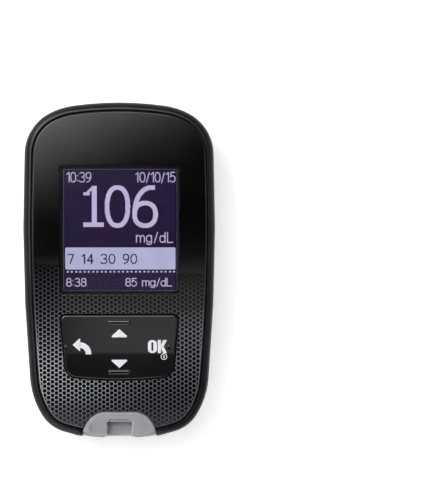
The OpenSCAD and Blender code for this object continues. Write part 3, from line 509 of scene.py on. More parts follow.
print("all materials ready")

photo = dict(
    scale=0.24243, height=500,  # mm on the front cover per pixel, and pixels from top to bottom
    middle=(213.5, 250),  # pixel at the middle of the frame
    origin=(119.38, 270.5),  # pixel of the meter's own middle
    eye=(0, 20, 620),  # mm
)


def buildCamera(view):
    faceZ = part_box("front_cover")[1][2]
    target = Vector((
        (view["middle"][0] - view["origin"][0]) * view["scale"] * mm,
        (view["origin"][1] - view["middle"][1]) * view["scale"] * mm, faceZ,
    ))
    eye = Vector(view["eye"]) * mm
    data = bpy.data.cameras.new("photoCamera")
    data.sensor_width = 36
    data.sensor_fit = "AUTO"
    data.lens = data.sensor_width * (eye - target).length / (view["height"] * view["scale"] * mm)
    data.clip_start, data.clip_end = 0.01, 20
    camera = bpy.data.objects.new("photoCamera", data)
    bpy.context.scene.collection.objects.link(camera)
    camera.location = eye
    ahead = (target - eye).normalized()
    side = ahead.cross(Vector((0, 1, 0))).normalized()
    camera.rotation_euler = Matrix((side, side.cross(ahead), -ahead)).transposed().to_euler()
    bpy.context.scene.camera = camera


# Lamps round the meter: place and size in metres, power in watts
lamps = dict(
    keySoftbox=dict(spot=(-0.5, 0.5, 0.8), size=(0.5, 0.5), power=3.6),
    rightStrip=dict(spot=(0.8, 0.0, 0.45), size=(0.25, 0.9), power=0.4),
    frontStrip=dict(spot=(-0.3, -0.8, 0.5), size=(0.9, 0.25), power=2),
)


def buildLight(name, spot, size, power, target=(0, 0, 0)):
    data = bpy.data.lights.new(name, "AREA")
    data.shape = "RECTANGLE"
    data.size, data.size_y = size
    data.energy = power
    light = bpy.data.objects.new(name, data)
    bpy.context.scene.collection.objects.link(light)
    light.location = spot
    light.rotation_euler = (Vector(target) - Vector(spot)).to_track_quat("-Z", "Y").to_euler()
    return data


# The large softbox overhead grows brighter towards the back and the left, as the face's reflection shows
softbox = dict(
    size=0.9, spot=(-0.30, 0.40, 1.6), start=0.02,  # metres
    rise=31.25, fall=14.3, gain=0.27, most=4.3,  # brightness is gain times the square of the ramp
)


# A lamp that hangs over the meter; its brightness follows from nodes that read the place on the lamp
def buildOverhead(name, spot, wide, long):
    data = buildLight(name, spot, (wide, long), math.pi * wide * long, (spot[0], spot[1], 0))
    data.use_nodes = True
    tree = data.node_tree
    place = addNode(tree, "NewGeometry").outputs["Parametric"]
    return tree, addNode(tree, "SeparateXYZ", {"Vector": place})


def setBrightness(tree, first, second):
    level = addNode(tree, "Math", {0: first, 1: second}, operation="MULTIPLY")
    tree.links.new(level.outputs[0], tree.nodes["Emission"].inputs["Strength"])


def buildOverheadSoftbox():
    size, spot = softbox["size"], softbox["spot"]
    tree, spread = buildOverhead("overheadSoftbox", spot, size, size)
    left, low = spot[0] - size / 2, spot[1] - size / 2
    along = addNode(tree, "Math", {
        0: spread.outputs["Y"], 1: softbox["rise"] * size,
        2: softbox["rise"] * (low - softbox["start"]) - softbox["fall"] * left,
    }, operation="MULTIPLY_ADD")
    lean = addNode(tree, "Math", {0: spread.outputs["X"], 1: -softbox["fall"] * size, 2: along.outputs[0]},
                   operation="MULTIPLY_ADD")
    ramp = addNode(tree, "MapRange", {
        "Value": lean.outputs[0], "From Max": softbox["most"], "To Max": softbox["most"],
    })
    square = addNode(tree, "Math", {0: ramp.outputs[0], 1: ramp.outputs[0]}, operation="MULTIPLY")
    setBrightness(tree, square.outputs[0], softbox["gain"])


# A weaker panel hangs over the strip end: it shows in the black face below the display and in the
# upper half of the keys
panel = dict(
    size=(0.32, 0.119), spot=(0.09, -0.0631, 1.6), radiance=0.42,  # metres
    softBack=0.34, softLeft=0.14,  # shares of the panel over which it fades in
)


def buildPanelLight():
    tree, spread = buildOverhead("facePanel", panel["spot"], *panel["size"])
    fade = addNode(tree, "MapRange", {
        "Value": spread.outputs["Y"], "From Min": 1, "From Max": 1 - panel["softBack"],
        "To Max": panel["radiance"],
    })
    side = addNode(tree, "MapRange", {"Value": spread.outputs["X"], "From Max": panel["softLeft"]})
    setBrightness(tree, fade.outputs[0], side.outputs[0])


studio = dict(
    floorSize=6, floorDrop=0.02,  # metres across, and mm below the flat back
    floorColour="#f2f2f2", floorGlow=0.6,
    mirrored=0.25,  # the black case mirrors only a quarter of the glow, or its sides turn grey
    low=(0.2, "#d6d6d6"), high=(0.85, "#262626"), right=0.3,  # round the floor, overhead, share at the right
)


def buildFloor():
    deselectAll()
    bpy.ops.mesh.primitive_plane_add(size=studio["floorSize"], location=(0, 0, -studio["floorDrop"] * mm))
    floor = bpy.context.object
    floor.name = "floor"
    material, tree, shader, place = newMaterial("paleFloor")
    rays = addNode(tree, "LightPath").outputs
    seen = addNode(tree, "Math", {0: rays["Is Glossy Ray"], 1: studio["mirrored"], 2: rays["Is Camera Ray"]},
                   operation="MULTIPLY_ADD")
    seen = addNode(tree, "Math", {0: seen.outputs[0], 1: rays["Is Transmission Ray"]}, operation="ADD")
    strength = addNode(tree, "Math", {0: seen.outputs[0], 1: studio["floorGlow"]},
                       operation="MULTIPLY", use_clamp=True)
    tree.links.new(strength.outputs[0], shader.inputs["Emission Strength"])
    setShader(shader, Base_Color=linearColour(studio["floorColour"]), Roughness=0.6,
              Emission_Color=(1, 1, 1, 1))
    # from below the floor is clear, so that the back can be seen
    back = addNode(tree, "NewGeometry").outputs["Backfacing"]
    clear = addNode(tree, "BsdfTransparent").outputs[0]
    sheet = addNode(tree, "MixShader", {0: back, 1: shader.outputs[0], 2: clear})
    tree.links.new(sheet.outputs[0], tree.nodes["Material Output"].inputs["Surface"])
    floor.data.materials.append(material)


# The studio is pale round the floor and dark overhead, and darker to the right
def buildWorld():
    world = bpy.data.worlds.new("studio")
    bpy.context.scene.world = world
    world.use_nodes = True
    tree = world.node_tree
    direction = addNode(tree, "SeparateXYZ", {"Vector": addNode(tree, "TexCoord").outputs["Generated"]})
    ramp = addNode(tree, "ValToRGB", {"Fac": direction.outputs["Z"]})
    setStops(ramp, [studio["low"], studio["high"]])
    side = addNode(tree, "MapRange", {"Value": direction.outputs["X"], "From Min": -1, "From Max": 1,
                                      "To Min": 1, "To Max": studio["right"]})
    background = tree.nodes["Background"]
    tree.links.new(ramp.outputs["Color"], background.inputs["Color"])
    tree.links.new(side.outputs[0], background.inputs["Strength"])
    # where no floor is behind it, the meter stands on white
    white = addNode(tree, "Background", {"Color": (1, 1, 1, 1), "Strength": 1}).outputs[0]
    seen = addNode(tree, "LightPath").outputs["Is Camera Ray"]
    mixed = addNode(tree, "MixShader", {0: seen, 1: background.outputs[0], 2: white})
    tree.links.new(mixed.outputs[0], tree.nodes["World Output"].inputs["Surface"])


buildCamera(photo)
for name, lamp in lamps.items():
    buildLight(name, **lamp)
buildOverheadSoftbox()
buildPanelLight()
buildFloor()
buildWorld()
bpy.context.scene.view_settings.view_transform = "Standard"
print("camera, lights and floor ready")


def dress(piece, material, body, slot, *replaced):
    if not piece.data.materials:
        piece.data.materials.append(material)
    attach(piece, body)
    if replaced:
        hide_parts(*replaced)


# A CAD node's shape as clean faces with rounded edges; it stands for the node
def refineNode(node, name, material, width=0):
    source = frame["nodes"][node]
    piece = source.copy()
    piece.data = source.data.copy()
    piece.parent = None
    piece.matrix_world = Matrix.Identity(4)
    piece.name = piece.data.name = name
    bpy.context.scene.collection.objects.link(piece)
    piece.data.materials.clear()
    editAll(piece)
    bpy.ops.mesh.remove_doubles(threshold=0.002 * mm)
    bpy.ops.mesh.dissolve_limited(angle_limit=math.radians(0.5))
    bpy.ops.object.mode_set(mode="OBJECT")
    if width:
        roundEdges(piece, width)
    smoothFaces(piece)
    dress(piece, material, bodyOf[node], slotOf[node], node)
    return piece


coverLow, coverHigh = nodeBox("front_cover")
windowLow, windowHigh = nodeBox("display_window")
windowBox = (windowLow.xy, windowHigh.xy)
keyLow, keyHigh = nodeBox("key_plate")
faceZ = coverHigh.z

# Key plate outline: upper edge straight, sides taper towards the strip end, lower edge bulges out
keyShape = dict(
    width=28.5, length=15.9, taper=1.35, bulge=0.95, radii=[1.2, 1.2, 3, 90, 3], tab=0.8,
    below=4.5, proud=0.2,  # where the plate's side begins above its feet, and how far it stands out of the face
    edge=0.35,  # rounding of the upper edge
    slope=1.2, ridge=0.8,  # degrees that each half falls away, and how far the ridge lies below the middle
    fold=1,  # the ridge is a soft one, so many mm to each side
    bar=(5.6, 1.2), barIn=(1.8, 2.05), barRise=0.3,  # touch bars: size, distance from the ends
    nub=(0.9, 1.5), nubIn=(0.65, 2.2), nubRise=0.15,  # nubs at the left and right side
    barRound=0.4, barFoot=0.4,  # rounding of their tops, and how far they reach into the plate
)
keysTop = keyHigh.y - keyShape["tab"]
keysLow = keysTop - keyShape["length"]
keysMiddle = (keysTop + keysLow) / 2
keyFace = faceZ + keyShape["proud"]
ridgeY = keysMiddle - keyShape["ridge"]
keysHalf = keyShape["width"] / 2
keysFoot = keysHalf - keyShape["taper"]
keyCorners = [
    (-keysHalf, keysTop), (keysHalf, keysTop), (keysFoot, keysLow + keyShape["bulge"]), (0, keysLow),
    (-keysFoot, keysLow + keyShape["bulge"]),
]


def keyOutline(inset):
    return roundedOutline(keyCorners, keyShape["radii"], inset, steps=10)


portShape = dict(width=17.8, length=6.5, flat=6.8, arch=5.8)
portTop = caseEnd + portShape["length"]


def portOutline(grow, foot=None):
    half, flat, top = portShape["width"] / 2 + grow, portShape["flat"] / 2, portTop + grow
    side = []
    for i in range(17):
        a = math.pi / 2 * i / 16
        side.append((flat + (half - flat) * math.cos(a), top - portShape["arch"] * (1 - math.sin(a))))
    if foot:  # the opening in the cover flares out to the cover's edge in a small round corner
        y, radius = foot
        side = [(half + radius * (1 - math.sin(a)), y + radius * (1 - math.cos(a)))
                for a in (math.radians(15 * k) for k in range(6))] + side
        half += radius
    return [(-x, y) for x, y in side] + side[::-1] + [(half, caseEnd - 1), (-half, caseEnd - 1)]


coverShape = dict(
    drawnIn=0.07,  # the cover is a hair narrower than its node, which opens the dark groove round it
    edge=0.36, ledge=0.9, pocket=1.2, windowGap=0.12, keyGap=0.3, portGap=0.1,
    windowRadius=0.9, windowEdge=0.05, windowEdgeMiddle=0.015, footRound=0.55, breakEdge=0.08,
)
honeycomb = dict(
    pitch=1.1, columns=24, rows=39,  # from cell to cell down a column; pairs of columns
    start=1.2,  # how far the first row lies from the strip end
    across=0.92, floor=0.84, depth=0.07, margin=0.1, cornerCut=12,  # degrees cut off at each corner's side
    fadeLeft=3, fadeRight=-2,  # height where the cells begin at the left and right side
)
coverInset = caseHigh.x - coverHigh.x + coverShape["drawnIn"]


def cellOutline(across):
    points, cut = [], honeycomb["cornerCut"]  # a hexagon with a flat top and cut corners
    radius = across / 2 / math.cos(math.radians(30 - cut))
    for i in range(6):
        for lean in (-cut, cut):
            a = math.radians(60 * i + lean)
            points.append((radius * math.cos(a), radius * math.sin(a)))
    return points


def buildCells():
    pitch, across = honeycomb["pitch"], honeycomb["across"]
    column = pitch * math.sqrt(3) / 2
    cells = []
    for x, y in ((0, 0), (column, pitch / 2)):
        rings = []
        for size, z in ((honeycomb["floor"], faceZ - honeycomb["depth"]), (across, faceZ),
                        (across + 0.02, faceZ + 0.3)):  # the cutter reaches past the face
            rings.append([(px + x, py + y, z) for px, py in cellOutline(size)])
        cells.append(stackRings("cell", rings))
    cell = joinPieces("cells", cells)
    for count, step in (
        (honeycomb["columns"], (2 * column * mm, 0, 0)), (honeycomb["rows"], (0, pitch * mm, 0)),
    ):
        applyModifier(cell, "ARRAY", count=count, use_relative_offset=False, use_constant_offset=True,
                      constant_offset_displace=step)
    corner = Vector((-honeycomb["columns"] * column, caseEnd + honeycomb["start"], 0))
    cell.data.transform(Matrix.Translation(corner * mm))
    return cell


def coverFoot(grow):  # where the opening for the port meets the cover's lower edge
    half = portShape["width"] / 2 + grow
    edge = min(caseOutline(coverInset), key=lambda point: abs(point[0] - half) + (100 if point[1] > 0 else 0))
    return edge[1] - 0.02, coverShape["footRound"]


def buildCellRegion():
    inside = coverInset + coverShape["edge"] + honeycomb["margin"]
    region = plate("cellRegion", caseOutline(inside), faceZ - 0.2, faceZ + 0.2)
    grow = honeycomb["margin"]
    below, above = faceZ - 1, faceZ + 1
    for outline in (
        roundedBox(windowBox, coverShape["windowRadius"], -coverShape["windowGap"] - grow),
        keyOutline(-coverShape["keyGap"] - grow),
        portOutline(coverShape["portGap"] + grow),
        [(-40, honeycomb["fadeLeft"]), (-40, 60), (40, 60), (40, honeycomb["fadeRight"])],
    ):
        carve(region, plate("hole", outline, below, above))
    return region


def buildCover():
    rings = [atHeight(caseOutline(coverInset), coverLow.z)]
    rings += roundOver(lambda inset: caseOutline(coverInset + inset), coverShape["edge"], faceZ)
    cover = stackRings("frontCover", rings)
    keyGap, portGap, small = (coverShape[k] for k in ("keyGap", "portGap", "breakEdge"))
    radius, foot = coverShape["windowRadius"], coverFoot(portGap)
    below, above = coverLow.z - 1, faceZ + 1
    carve(cover, plate("hole", roundedBox(windowBox, radius, coverShape["ledge"]), below, above))
    carve(cover, plate("hole", roundedBox(windowBox, radius, -coverShape["windowGap"]),
                       faceZ - coverShape["pocket"], above))
    for outlineAt in (
        lambda grow: keyOutline(-keyGap - grow), lambda grow: portOutline(portGap + grow, foot),
    ):
        carve(cover, stackRings("hole", [
            atHeight(outlineAt(0), below), atHeight(outlineAt(0), faceZ - small),
            atHeight(outlineAt(small), faceZ), atHeight(outlineAt(small), above)]))
    cells = buildCells()
    for material in (inkAndSheenPolycarbonate, cellInk):
        cover.data.materials.append(material)
        cells.data.materials.append(material)
    cells.data.polygons.foreach_set("material_index", [1] * len(cells.data.polygons))
    carve(cells, buildCellRegion(), "INTERSECT", "MANIFOLD")
    print("honeycomb cells cut to the cover,", len(cells.data.polygons), "faces")
    carve(cover, cells, "DIFFERENCE", "MANIFOLD")
    cover.data.materials.append(polishedPolycarbonate)
    bare = len(cover.data.materials) - 1
    for face in cover.data.polygons:  # the ink lies behind the flat face only
        if cover.data.materials[face.material_index] != cellInk and face.center.z < (faceZ - 0.01) * mm:
            face.material_index = bare
    smoothFaces(cover)
    dress(cover, inkAndSheenPolycarbonate, "case", "cover", "front_cover")
    print("front cover ready,", len(cover.data.polygons), "faces")


buildCover()


def buildWindow():
    radius, edge, middle = (coverShape[k] for k in ("windowRadius", "windowEdge", "windowEdgeMiddle"))
    window = stackRings("window", [atHeight(roundedBox(windowBox, radius, inset), z) for z, inset in (
        (windowLow.z, edge), (windowLow.z + edge, 0), (faceZ - edge, 0), (faceZ - middle, middle),
        (faceZ, edge),
    )])
    smoothFaces(window)
    dress(window, castAcrylic, "case", "window", "display_window")


# The display counts in its own dots: columns from the left and rows from the top of the picture
display = dict(
    corner=(-13.36, 24.42), dot=0.2434, columns=112, rows=120,  # mm
    fine=2,  # squares per dot and side, so that slanted strokes look as smooth as real dots do
    line=0.2, printed=0.03,  # width of the border line, thickness of the printed border
    lift=0.025, sink=0.01,  # how far the lit figures stand out of the display glass
    small=dict(height=9.5, width=4.85, gap=1.33, stroke=0.98),
    values=[("10:39", 2.4, 12.2), ("10/10/15", 71.3, 12.2)],
    unit=("mg/dL", 71.9, 72.3), unitSize=dict(height=9.6, width=5.5, gap=2.05, stroke=1.05),
    lowSize=dict(height=7.6, width=4.7, gap=1.3, stroke=0.95),
    lowValues=[("8:38", 2.3, 116), ("85 mg/dL", 61.3, 116)],
    bar=(0.9, 77.4, 111.4, 99.4), barRound=1.8,
    averages=("7 14 30 90", 3.6, 93.4), averageSize=dict(height=9, width=5.6, gap=2.2, stroke=1.2),
    dashes=dict(first=2.3, last=109.5, rows=(101, 102.5), length=2, period=4.25),
    stem=(27.5, 16.2, 32.6, 57), stemFoot=(19.1, 52.4, 39.6, 57),
    flag=[(28, 18.3), (23, 23)], flagStroke=2.6, flagEnd=(19.2, 22.5, 25.4, 25.3),
    nought=(53.1, 36.65, 10.4, 19.1), six=(80.65, 44.5, 10.5, 11.3), sixBack=(88, 44.5, 17.85, 26.95),
    sixEnd=(87, 15.3, 90.6, 19.8), largeStroke=4.6,
)


def arcStroke(cx, cy, rx, ry, first=0, last=360, power=2.3):
    points = []
    for i in range(25):
        a = math.radians(first + (last - first) * i / 24)
        c, s = math.cos(a), math.sin(a)
        points.append((cx + rx * math.copysign(abs(c) ** (2 / power), c),
                       cy + ry * math.copysign(abs(s) ** (2 / power), s)))
    return points


# Strokes of each figure in a box one wide and one high, standing on its lower edge; and each one's width
displayGlyphs = {
    "0": (1, [arcStroke(0.5, 0.5, 0.5, 0.5)]),
    "1": (0.6, [[(0.05, 0.8), (0.5, 1), (0.5, 0)]]),
    "3": (1, [arcStroke(0.42, 0.75, 0.48, 0.25, 150, -90), arcStroke(0.42, 0.26, 0.55, 0.26, 90, -150)]),
    "4": (1, [[(0.75, 0), (0.75, 1), (0, 0.3), (1, 0.3)]]),
    "5": (1, [[(0.9, 1), (0.15, 1), (0.08, 0.52)], arcStroke(0.45, 0.32, 0.52, 0.32, 140, -150)]),
    "7": (1, [[(0, 1), (1, 1), (0.4, 0)]]),
    "8": (1, [arcStroke(0.5, 0.76, 0.43, 0.24), arcStroke(0.5, 0.26, 0.5, 0.26)]),
    "9": (1, [arcStroke(0.5, 0.7, 0.48, 0.3), arcStroke(0.08, 0.7, 0.9, 0.7, 0, -85)]),
    ":": (0.3, [[(0.1, 0.12), (0.1, 0.16)], [(0.1, 0.66), (0.1, 0.7)]]),
    "/": (0.7, [[(0.06, -0.06), (0.64, 1)]]),
    "m": (1.45, [[(0, 0), (0, 0.7)], arcStroke(0.36, 0.42, 0.36, 0.27, 180, 0), [(0.73, 0.42), (0.73, 0)],
                 arcStroke(1.09, 0.42, 0.36, 0.27, 180, 0), [(1.45, 0.42), (1.45, 0)]]),
    "g": (1, [arcStroke(0.46, 0.35, 0.46, 0.34), [(0.94, 0.7), (0.94, -0.02)],
              arcStroke(0.47, -0.04, 0.47, 0.17, 0, -150)]),
    "d": (1, [arcStroke(0.46, 0.34, 0.46, 0.34), [(0.94, 1), (0.94, 0)]]),
    "L": (0.95, [[(0, 1), (0, 0), (0.95, 0)]]),
    " ": (0.7, []),
}


def textStrokes(text, left, baseline, size):
    strokes = []
    for letter in text:
        width, shapes = displayGlyphs[letter]
        for shape in shapes:
            points = [(left + x * size["width"], baseline - y * size["height"]) for x, y in shape]
            strokes.append((points, size["stroke"]))
        left += width * size["width"] + size["gap"]
    return strokes


# An unlit picture, and where the middle of each of its squares lies, in dots
def newPicture():
    fine = display["fine"]
    rows, columns = numpy.mgrid[0:display["rows"] * fine, 0:display["columns"] * fine]
    return numpy.zeros(rows.shape, dtype=bool), (columns + 0.5) / fine, (rows + 0.5) / fine


def drawStrokes(strokes):
    lit, x, y = newPicture()
    for points, width in strokes:
        for (ax, ay), (bx, by) in zip(points, points[1:]):
            length = max((bx - ax) ** 2 + (by - ay) ** 2, 1e-9)
            t = numpy.clip(((x - ax) * (bx - ax) + (y - ay) * (by - ay)) / length, 0, 1)
            lit |= numpy.hypot(x - ax - t * (bx - ax), y - ay - t * (by - ay)) < width / 2
    return lit


def drawBlocks(blocks, corner=0):
    lit, x, y = newPicture()
    for left, top, right, low in blocks:
        outX = numpy.maximum(abs(x - (left + right) / 2) - (right - left) / 2 + corner, 0)
        outY = numpy.maximum(abs(y - (top + low) / 2) - (low - top) / 2 + corner, 0)
        lit |= numpy.hypot(outX, outY) <= corner
    return lit


# A grid of small squares over the picture, from which the dark ones are deleted
def pixelPiece(name, lit, material):
    rows, columns = lit.shape
    wide, tall = display["columns"] * display["dot"] * mm, display["rows"] * display["dot"] * mm
    left, top = display["corner"][0] * mm, display["corner"][1] * mm
    deselectAll()
    bpy.ops.mesh.primitive_grid_add(x_subdivisions=columns, y_subdivisions=rows, size=1)
    piece = bpy.context.object
    piece.name = piece.data.name = name
    centres = numpy.empty(len(piece.data.polygons) * 3)
    piece.data.polygons.foreach_get("center", centres)
    column = numpy.clip(((centres[0::3] + 0.5) * columns).astype(int), 0, columns - 1)
    row = numpy.clip(((0.5 - centres[1::3]) * rows).astype(int), 0, rows - 1)
    bpy.context.tool_settings.mesh_select_mode = (False, False, True)
    pickOnly(piece)
    bpy.ops.object.mode_set(mode="EDIT")
    bpy.ops.mesh.select_all(action="DESELECT")
    bpy.ops.object.mode_set(mode="OBJECT")
    piece.data.polygons.foreach_set("select", ~lit[row, column])
    bpy.ops.object.mode_set(mode="EDIT")
    bpy.ops.mesh.delete(type="FACE")
    bpy.ops.mesh.select_all(action="SELECT")
    bpy.ops.mesh.dissolve_limited(angle_limit=math.radians(1))
    bpy.ops.object.mode_set(mode="OBJECT")
    bpy.context.tool_settings.mesh_select_mode = (True, False, False)
    z = nodeBox("display_glass")[1].z - display["sink"]
    place = Matrix.Translation((left + wide / 2, top - tall / 2, z * mm)) @ Matrix.Diagonal((wide, tall, 1, 1))
    piece.data.transform(place)
    applyModifier(piece, "SOLIDIFY", thickness=(display["lift"] + display["sink"]) * mm, offset=1)
    dress(piece, material, "case", "display")
    print(name, "ready,", len(piece.data.polygons), "faces")


def buildFigures():
    d, strokes, line = display, [], []
    for text, left, base in d["values"]:
        strokes += textStrokes(text, left, base, d["small"])
    for text, left, base in d["lowValues"]:
        strokes += textStrokes(text, left, base, d["lowSize"])
    strokes += textStrokes(*d["unit"], d["unitSize"])
    back = arcStroke(*d["sixBack"], 180, 270, power=2.15)
    for points in (arcStroke(*d["nought"]), arcStroke(*d["six"]), back):
        strokes.append((points, d["largeStroke"]))
    strokes.append((d["flag"], d["flagStroke"]))
    dashes = d["dashes"]
    left, (high, low) = dashes["first"], dashes["rows"]
    while left < dashes["last"]:
        line.append((left, high, left + dashes["length"], low))
        left = dashes["first"] + len(line) * dashes["period"]
    blocks = [d["stem"], d["stemFoot"], d["flagEnd"], d["sixEnd"]]
    pixelPiece("displayFigures", drawStrokes(strokes) | drawBlocks(blocks + line), litPixels)
    averages = drawStrokes(textStrokes(*d["averages"], d["averageSize"]))
    pixelPiece("displayBar", drawBlocks([d["bar"]], d["barRound"]) & ~averages, litBarPixels)


def ringPiece(name, outer, inner, low, high):
    ring = plate(name, outer, low, high)
    carve(ring, plate("hole", inner, low - 1, high + 1))
    return ring


# Printed on the underside of the window: a grey border with a thin lighter line round the picture
def buildBorder():
    left, top = display["corner"]
    right = left + display["columns"] * display["dot"]
    low = top - display["rows"] * display["dot"]
    picture, wide = ((left, low), (right, top)), display["line"]
    z = windowLow.z
    edge = roundedBox(windowBox, coverShape["windowRadius"], 0.06)  # the print stops short of the window's edge
    outside, inside = roundedBox(picture, 0.1, -wide), roundedBox(picture, 0.1)
    for name, outer, inner, material in (
        ("windowBorder", edge, outside, borderInk), ("windowBorderLine", outside, inside, borderLineInk),
    ):
        dress(ringPiece(name, outer, inner, z - display["printed"], z + 0.002), material, "case", "window")


buildWindow()
buildBorder()
buildFigures()
print("window and display ready")


def keyHeight(y):
    return keyFace - abs(y - ridgeY) * math.tan(math.radians(keyShape["slope"]))


def buildKeys():
    edge, fold = keyShape["edge"], keyShape["fold"]
    rings = [atHeight(keyOutline(0), keyLow.z + keyShape["below"])]
    for i in range(6):
        a = math.pi / 2 * i / 5
        rings.append([(x, y, keyHeight(y) - edge * (1 - math.sin(a)))
                      for x, y in keyOutline(edge * (1 - math.cos(a)))])
    keys = stackRings("keyPlate", rings)
    editAll(keys)
    for step in (0, -fold, fold):
        bpy.ops.mesh.select_all(action="SELECT")
        bpy.ops.mesh.bisect(plane_co=(0, (ridgeY + step) * mm, 0), plane_no=(0, 1, 0))
    for vertex in bmesh.from_edit_mesh(keys.data).verts:  # the middle edge lies on the ridge
        x, y, z = vertex.co / mm
        if abs(y - ridgeY) < fold + 0.01 and z > keyFace - edge - 0.1 and abs(x) < keysFoot:
            vertex.co.z = keyHeight(y) * mm
    bpy.ops.object.mode_set(mode="OBJECT")
    smoothFaces(keys)
    dress(keys, glossAbsKeys, "keys", "keys", "key_plate")
    bar, nub = (*keyShape["bar"], keyShape["barRise"]), (*keyShape["nub"], keyShape["nubRise"])
    upperIn, lowerIn = keyShape["barIn"]
    leftIn, rightIn = keyShape["nubIn"]
    bars = []
    for x, y, (wide, long, rise) in (
        (0, keysTop - upperIn, bar), (0, keysLow + lowerIn, bar),
        (leftIn + (keyShape["taper"] - keyShape["width"]) / 2, keysMiddle, nub),
        (keysHalf - rightIn, keysMiddle, nub),
    ):
        box = ((x - wide / 2, y - long / 2), (x + wide / 2, y + long / 2))
        radius = min(wide, long) / 2 - 0.01
        roundness = min(keyShape["barRound"], rise + 0.1)
        rings = [atHeight(roundedBox(box, radius), keyFace - keyShape["barFoot"])]
        rings += roundOver(lambda inset: roundedBox(box, radius, inset), roundness, keyFace + rise, steps=6)
        bars.append(stackRings("touchBar", rings))
    touch = joinPieces("touchBars", bars)
    smoothFaces(touch, 40)
    dress(touch, glossAbsKeys, "keys", "keys")


buildKeys()


# Signs printed on the keys: a thin layer of white ink that follows the two slopes
def printSign(name, outline, hole=None):
    sign = plate(name, outline, -0.05, 0.025)
    if hole:
        carve(sign, plate("hole", hole, -1, 1))
    editAll(sign)
    bpy.ops.mesh.bisect(plane_co=(0, ridgeY * mm, 0), plane_no=(0, 1, 0))
    bpy.ops.object.mode_set(mode="OBJECT")
    for vertex in sign.data.vertices:
        vertex.co.z += keyHeight(vertex.co.y / mm) * mm
    return sign


signShape = dict(
    triangle=(2.06, 1.89), up=-16.17, down=-21.6, triangleRound=0.22,
    arrowCentre=(-9.6, -20.15), arrowOuter=2.81, arrowInner=1.45, arrowTail=0.12,
    arrowTip=(-11.34, -17.96), arrowHead=(-9.5, 1.64), arrowRound=0.12,
    letterLow=-20.0, letterHigh=-16.85,
    outerO=(6.9, 9.08, 0.95), innerO=(7.75, 8.23, 0.22), wallO=0.5,  # left, right, corner radius
    stemK=(9.3, 10.08), armK=[(10.0, -0.55), (10.0, 0.25), (10.62, 1.575), (11.5, 1.575), (10.72, -0.02)],
    powerBar=(0.13, 0.33, 0.1),  # half its width, half its length, corner radius
    ringCentre=(10.79, -20.86), ringOuter=0.8, ringInner=0.6,
)


def buildSigns():
    s = signShape
    half, tall = s["triangle"]
    rounding = [s["triangleRound"]] * 3
    signs = []
    for base, direction in ((s["up"], 1), (s["down"], -1)):
        corners = [(-half - 0.15, base), (0, base + direction * (tall + 0.12)), (half + 0.15, base)]
        signs.append(printSign("triangle", roundedOutline(corners, rounding)))
    cx, cy = s["arrowCentre"]
    tipX, tipY = s["arrowTip"]
    headX, headHalf = s["arrowHead"]
    tail = cy - s["arrowTail"]
    outer = circlePoints((cx, cy), s["arrowOuter"], 88, 0, 14)
    inner = circlePoints((cx, cy), s["arrowInner"], 0, 88, 10)
    signs.append(printSign("backArrow", roundedOutline(
        [(tipX, tipY), (headX, tipY + headHalf), (headX, tipY - headHalf)], [s["arrowRound"]] * 3)))
    signs.append(printSign("backArrow", [(headX - 0.3, outer[0][1])] + outer + [
        (cx + s["arrowOuter"], tail), (cx + s["arrowInner"], tail)] + inner + [(headX - 0.3, inner[-1][1])]))
    low, high = s["letterLow"], s["letterHigh"]
    (left, right, radius), (innerLeft, innerRight, innerRadius), wall = s["outerO"], s["innerO"], s["wallO"]
    signs.append(printSign("letterO", roundedBox(((left, low), (right, high)), radius),
                           roundedBox(((innerLeft, low + wall), (innerRight, high - wall)), innerRadius)))
    (left, right), mid = s["stemK"], (low + high) / 2
    signs.append(printSign("letterK", [(left, low), (left, high), (right, high), (right, low)]))
    for flip in (1, -1):
        signs.append(printSign("letterK", [(x, mid + y * flip) for x, y in s["armK"]]))
    signs.append(printSign("powerRing", circlePoints(s["ringCentre"], s["ringOuter"]),
                           circlePoints(s["ringCentre"], s["ringInner"])))
    x, y = s["ringCentre"]
    halfWide, halfLong, radius = s["powerBar"]
    signs.append(printSign("powerBar", roundedBox(
        ((x - halfWide, y - halfLong), (x + halfWide, y + halfLong)), radius)))
    dress(joinPieces("keySigns", signs), whiteKeyInk, "keys", "keys")


buildSigns()
print("keys ready")

portDetail = dict(
    below=3.6, slotDown=4.4,  # its lower edge under the key plate's feet, and the slot's floor under the face
    reach=2.3, reachHeight=6.5,  # how far the end face leans in, and over what height
    edge=0.45, breakEdge=0.07, trough=5.8, troughLength=4, troughRound=0.3, slot=0.8,
    lip=[(0, 0.9), (0.05, 0.75), (0.18, 0.55), (0.48, -0.5)],  # how far the trough opens, so far under the face
    stepIn=0.4, stepDown=0.9, stepLength=0.7,  # the step above the slot
    groove=0.14, grooveDepth=0.45, grooveIn=0.9,  # the dark line at the step's back
    recess=(3.7, 0.3),
    scoopSlope=12, scoopIn=1.85, scoopHalf=4.9, scoopReach=7.2, scoopBend=1.35,
)


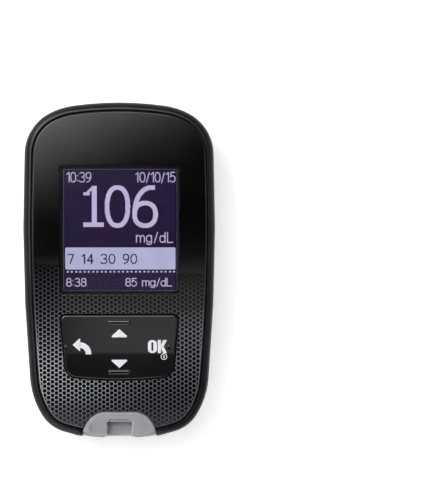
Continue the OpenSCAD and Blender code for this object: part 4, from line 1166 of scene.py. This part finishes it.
def buildPort():
    d = portDetail
    portLow, slotZ, sideZ = keyLow.z - d["below"], faceZ - d["slotDown"], faceZ - d["reachHeight"]
    rings = [atHeight(portOutline(0), portLow)] + roundOver(lambda inset: portOutline(-inset), d["edge"], faceZ)
    port = stackRings("portCover", rings)
    form = [atHeight(caseOutline(0), portLow - 1)]
    for i in range(9):
        a = math.pi / 2 * i / 8
        z = sideZ + (faceZ - sideZ) * math.sin(a)
        form.append(atHeight(caseOutline(d["reach"] * (1 - math.cos(a))), z))
    carve(port, stackRings("form", form), "INTERSECT")
    carve(port, boxPiece("cutter", (-30, caseEnd - 5, 0), (30, caseEnd, 30)))
    half, back = d["trough"] / 2, caseEnd + d["troughLength"]
    box, radius = ((-half, caseEnd - 2), (half, back)), d["troughRound"]
    flare = [atHeight(roundedBox(box, radius), slotZ)]
    flare += [atHeight(roundedBox(box, radius, -grow), faceZ - down) for grow, down in d["lip"]]
    carve(port, stackRings("cutter", flare))
    stepX, stepY, stepZ = half - d["stepIn"], back + d["stepLength"], faceZ - d["stepDown"]
    wide, deep = d["recess"]
    for low, high in (
        ((-half, back - 1, slotZ), (half, portTop + 1, slotZ + d["slot"])),
        ((-stepX, back - 1, stepZ), (stepX, stepY, faceZ + 1)),
        ((-stepX, stepY - d["groove"], stepZ - d["grooveDepth"]), (half - d["grooveIn"], stepY, stepZ + 0.1)),
        ((-wide, caseEnd - 1, portLow - 1), (wide, caseEnd + deep, faceZ + 1)),
    ):
        carve(port, boxPiece("cutter", low, high))
    crest, reach, half = portTop - d["scoopIn"], d["scoopReach"], d["scoopHalf"]
    bend = crest - d["scoopBend"]
    outline = [(-reach, caseEnd - 1), (-reach, bend), (-half, crest), (half, crest), (reach, bend),
               (reach, caseEnd - 1)]
    slope = math.tan(math.radians(d["scoopSlope"]))
    carve(port, stackRings("cutter", [
        [(x, y, faceZ - (crest - y) * slope) for x, y in outline], atHeight(outline, faceZ + 1)]))
    roundEdges(port, d["breakEdge"], angle=35)
    smoothFaces(port)
    dress(port, frostedGreyPolycarbonate, "case", "port_grey", "strip_port_cover")


buildPort()
print("strip port ready")

frontCase = refineNode("front_case", "frontCase", satinAbs)
frontCase.data.materials.append(foamTapeAndGrooveShade)
for face in frontCase.data.polygons:  # painted shade: the bottom of the groove round the cover is made dead black
    if face.center.z < (faceZ - 1.2) * mm and face.normal.z > 0.9:
        face.material_index = 1
for node, name, material, width in (
    ("rear_case", "rearCase", sparkErodedAbs, 0),
    ("battery_door", "batteryDoor", sparkErodedAbs, 0.08),
    ("ejector_slider", "ejectorSlider", satinAbs, 0.08),
    ("usb_socket", "usbSocket", drawnTinplate, 0.04),
    ("coin_cells", "coinCells", rolledStainless, 0.15),
    ("positive_contacts", "positiveContacts", nickelPlatedBronze, 0.03),
    ("negative_contacts", "negativeContacts", nickelPlatedBronze, 0.03),
    ("strip_connector", "stripConnector", flowedPolymer, 0),
    ("strip_contacts", "stripContacts", goldPlatedBronze, 0.02),
):
    refineNode(node, name, material, width)
print("case halves, door, ejector, cells and contacts ready")

for name, node in frame["nodes"].items():
    node.data.materials.clear()
    node.data.materials.append(nodeMaterials.get(name, mouldedPolycarbonate))
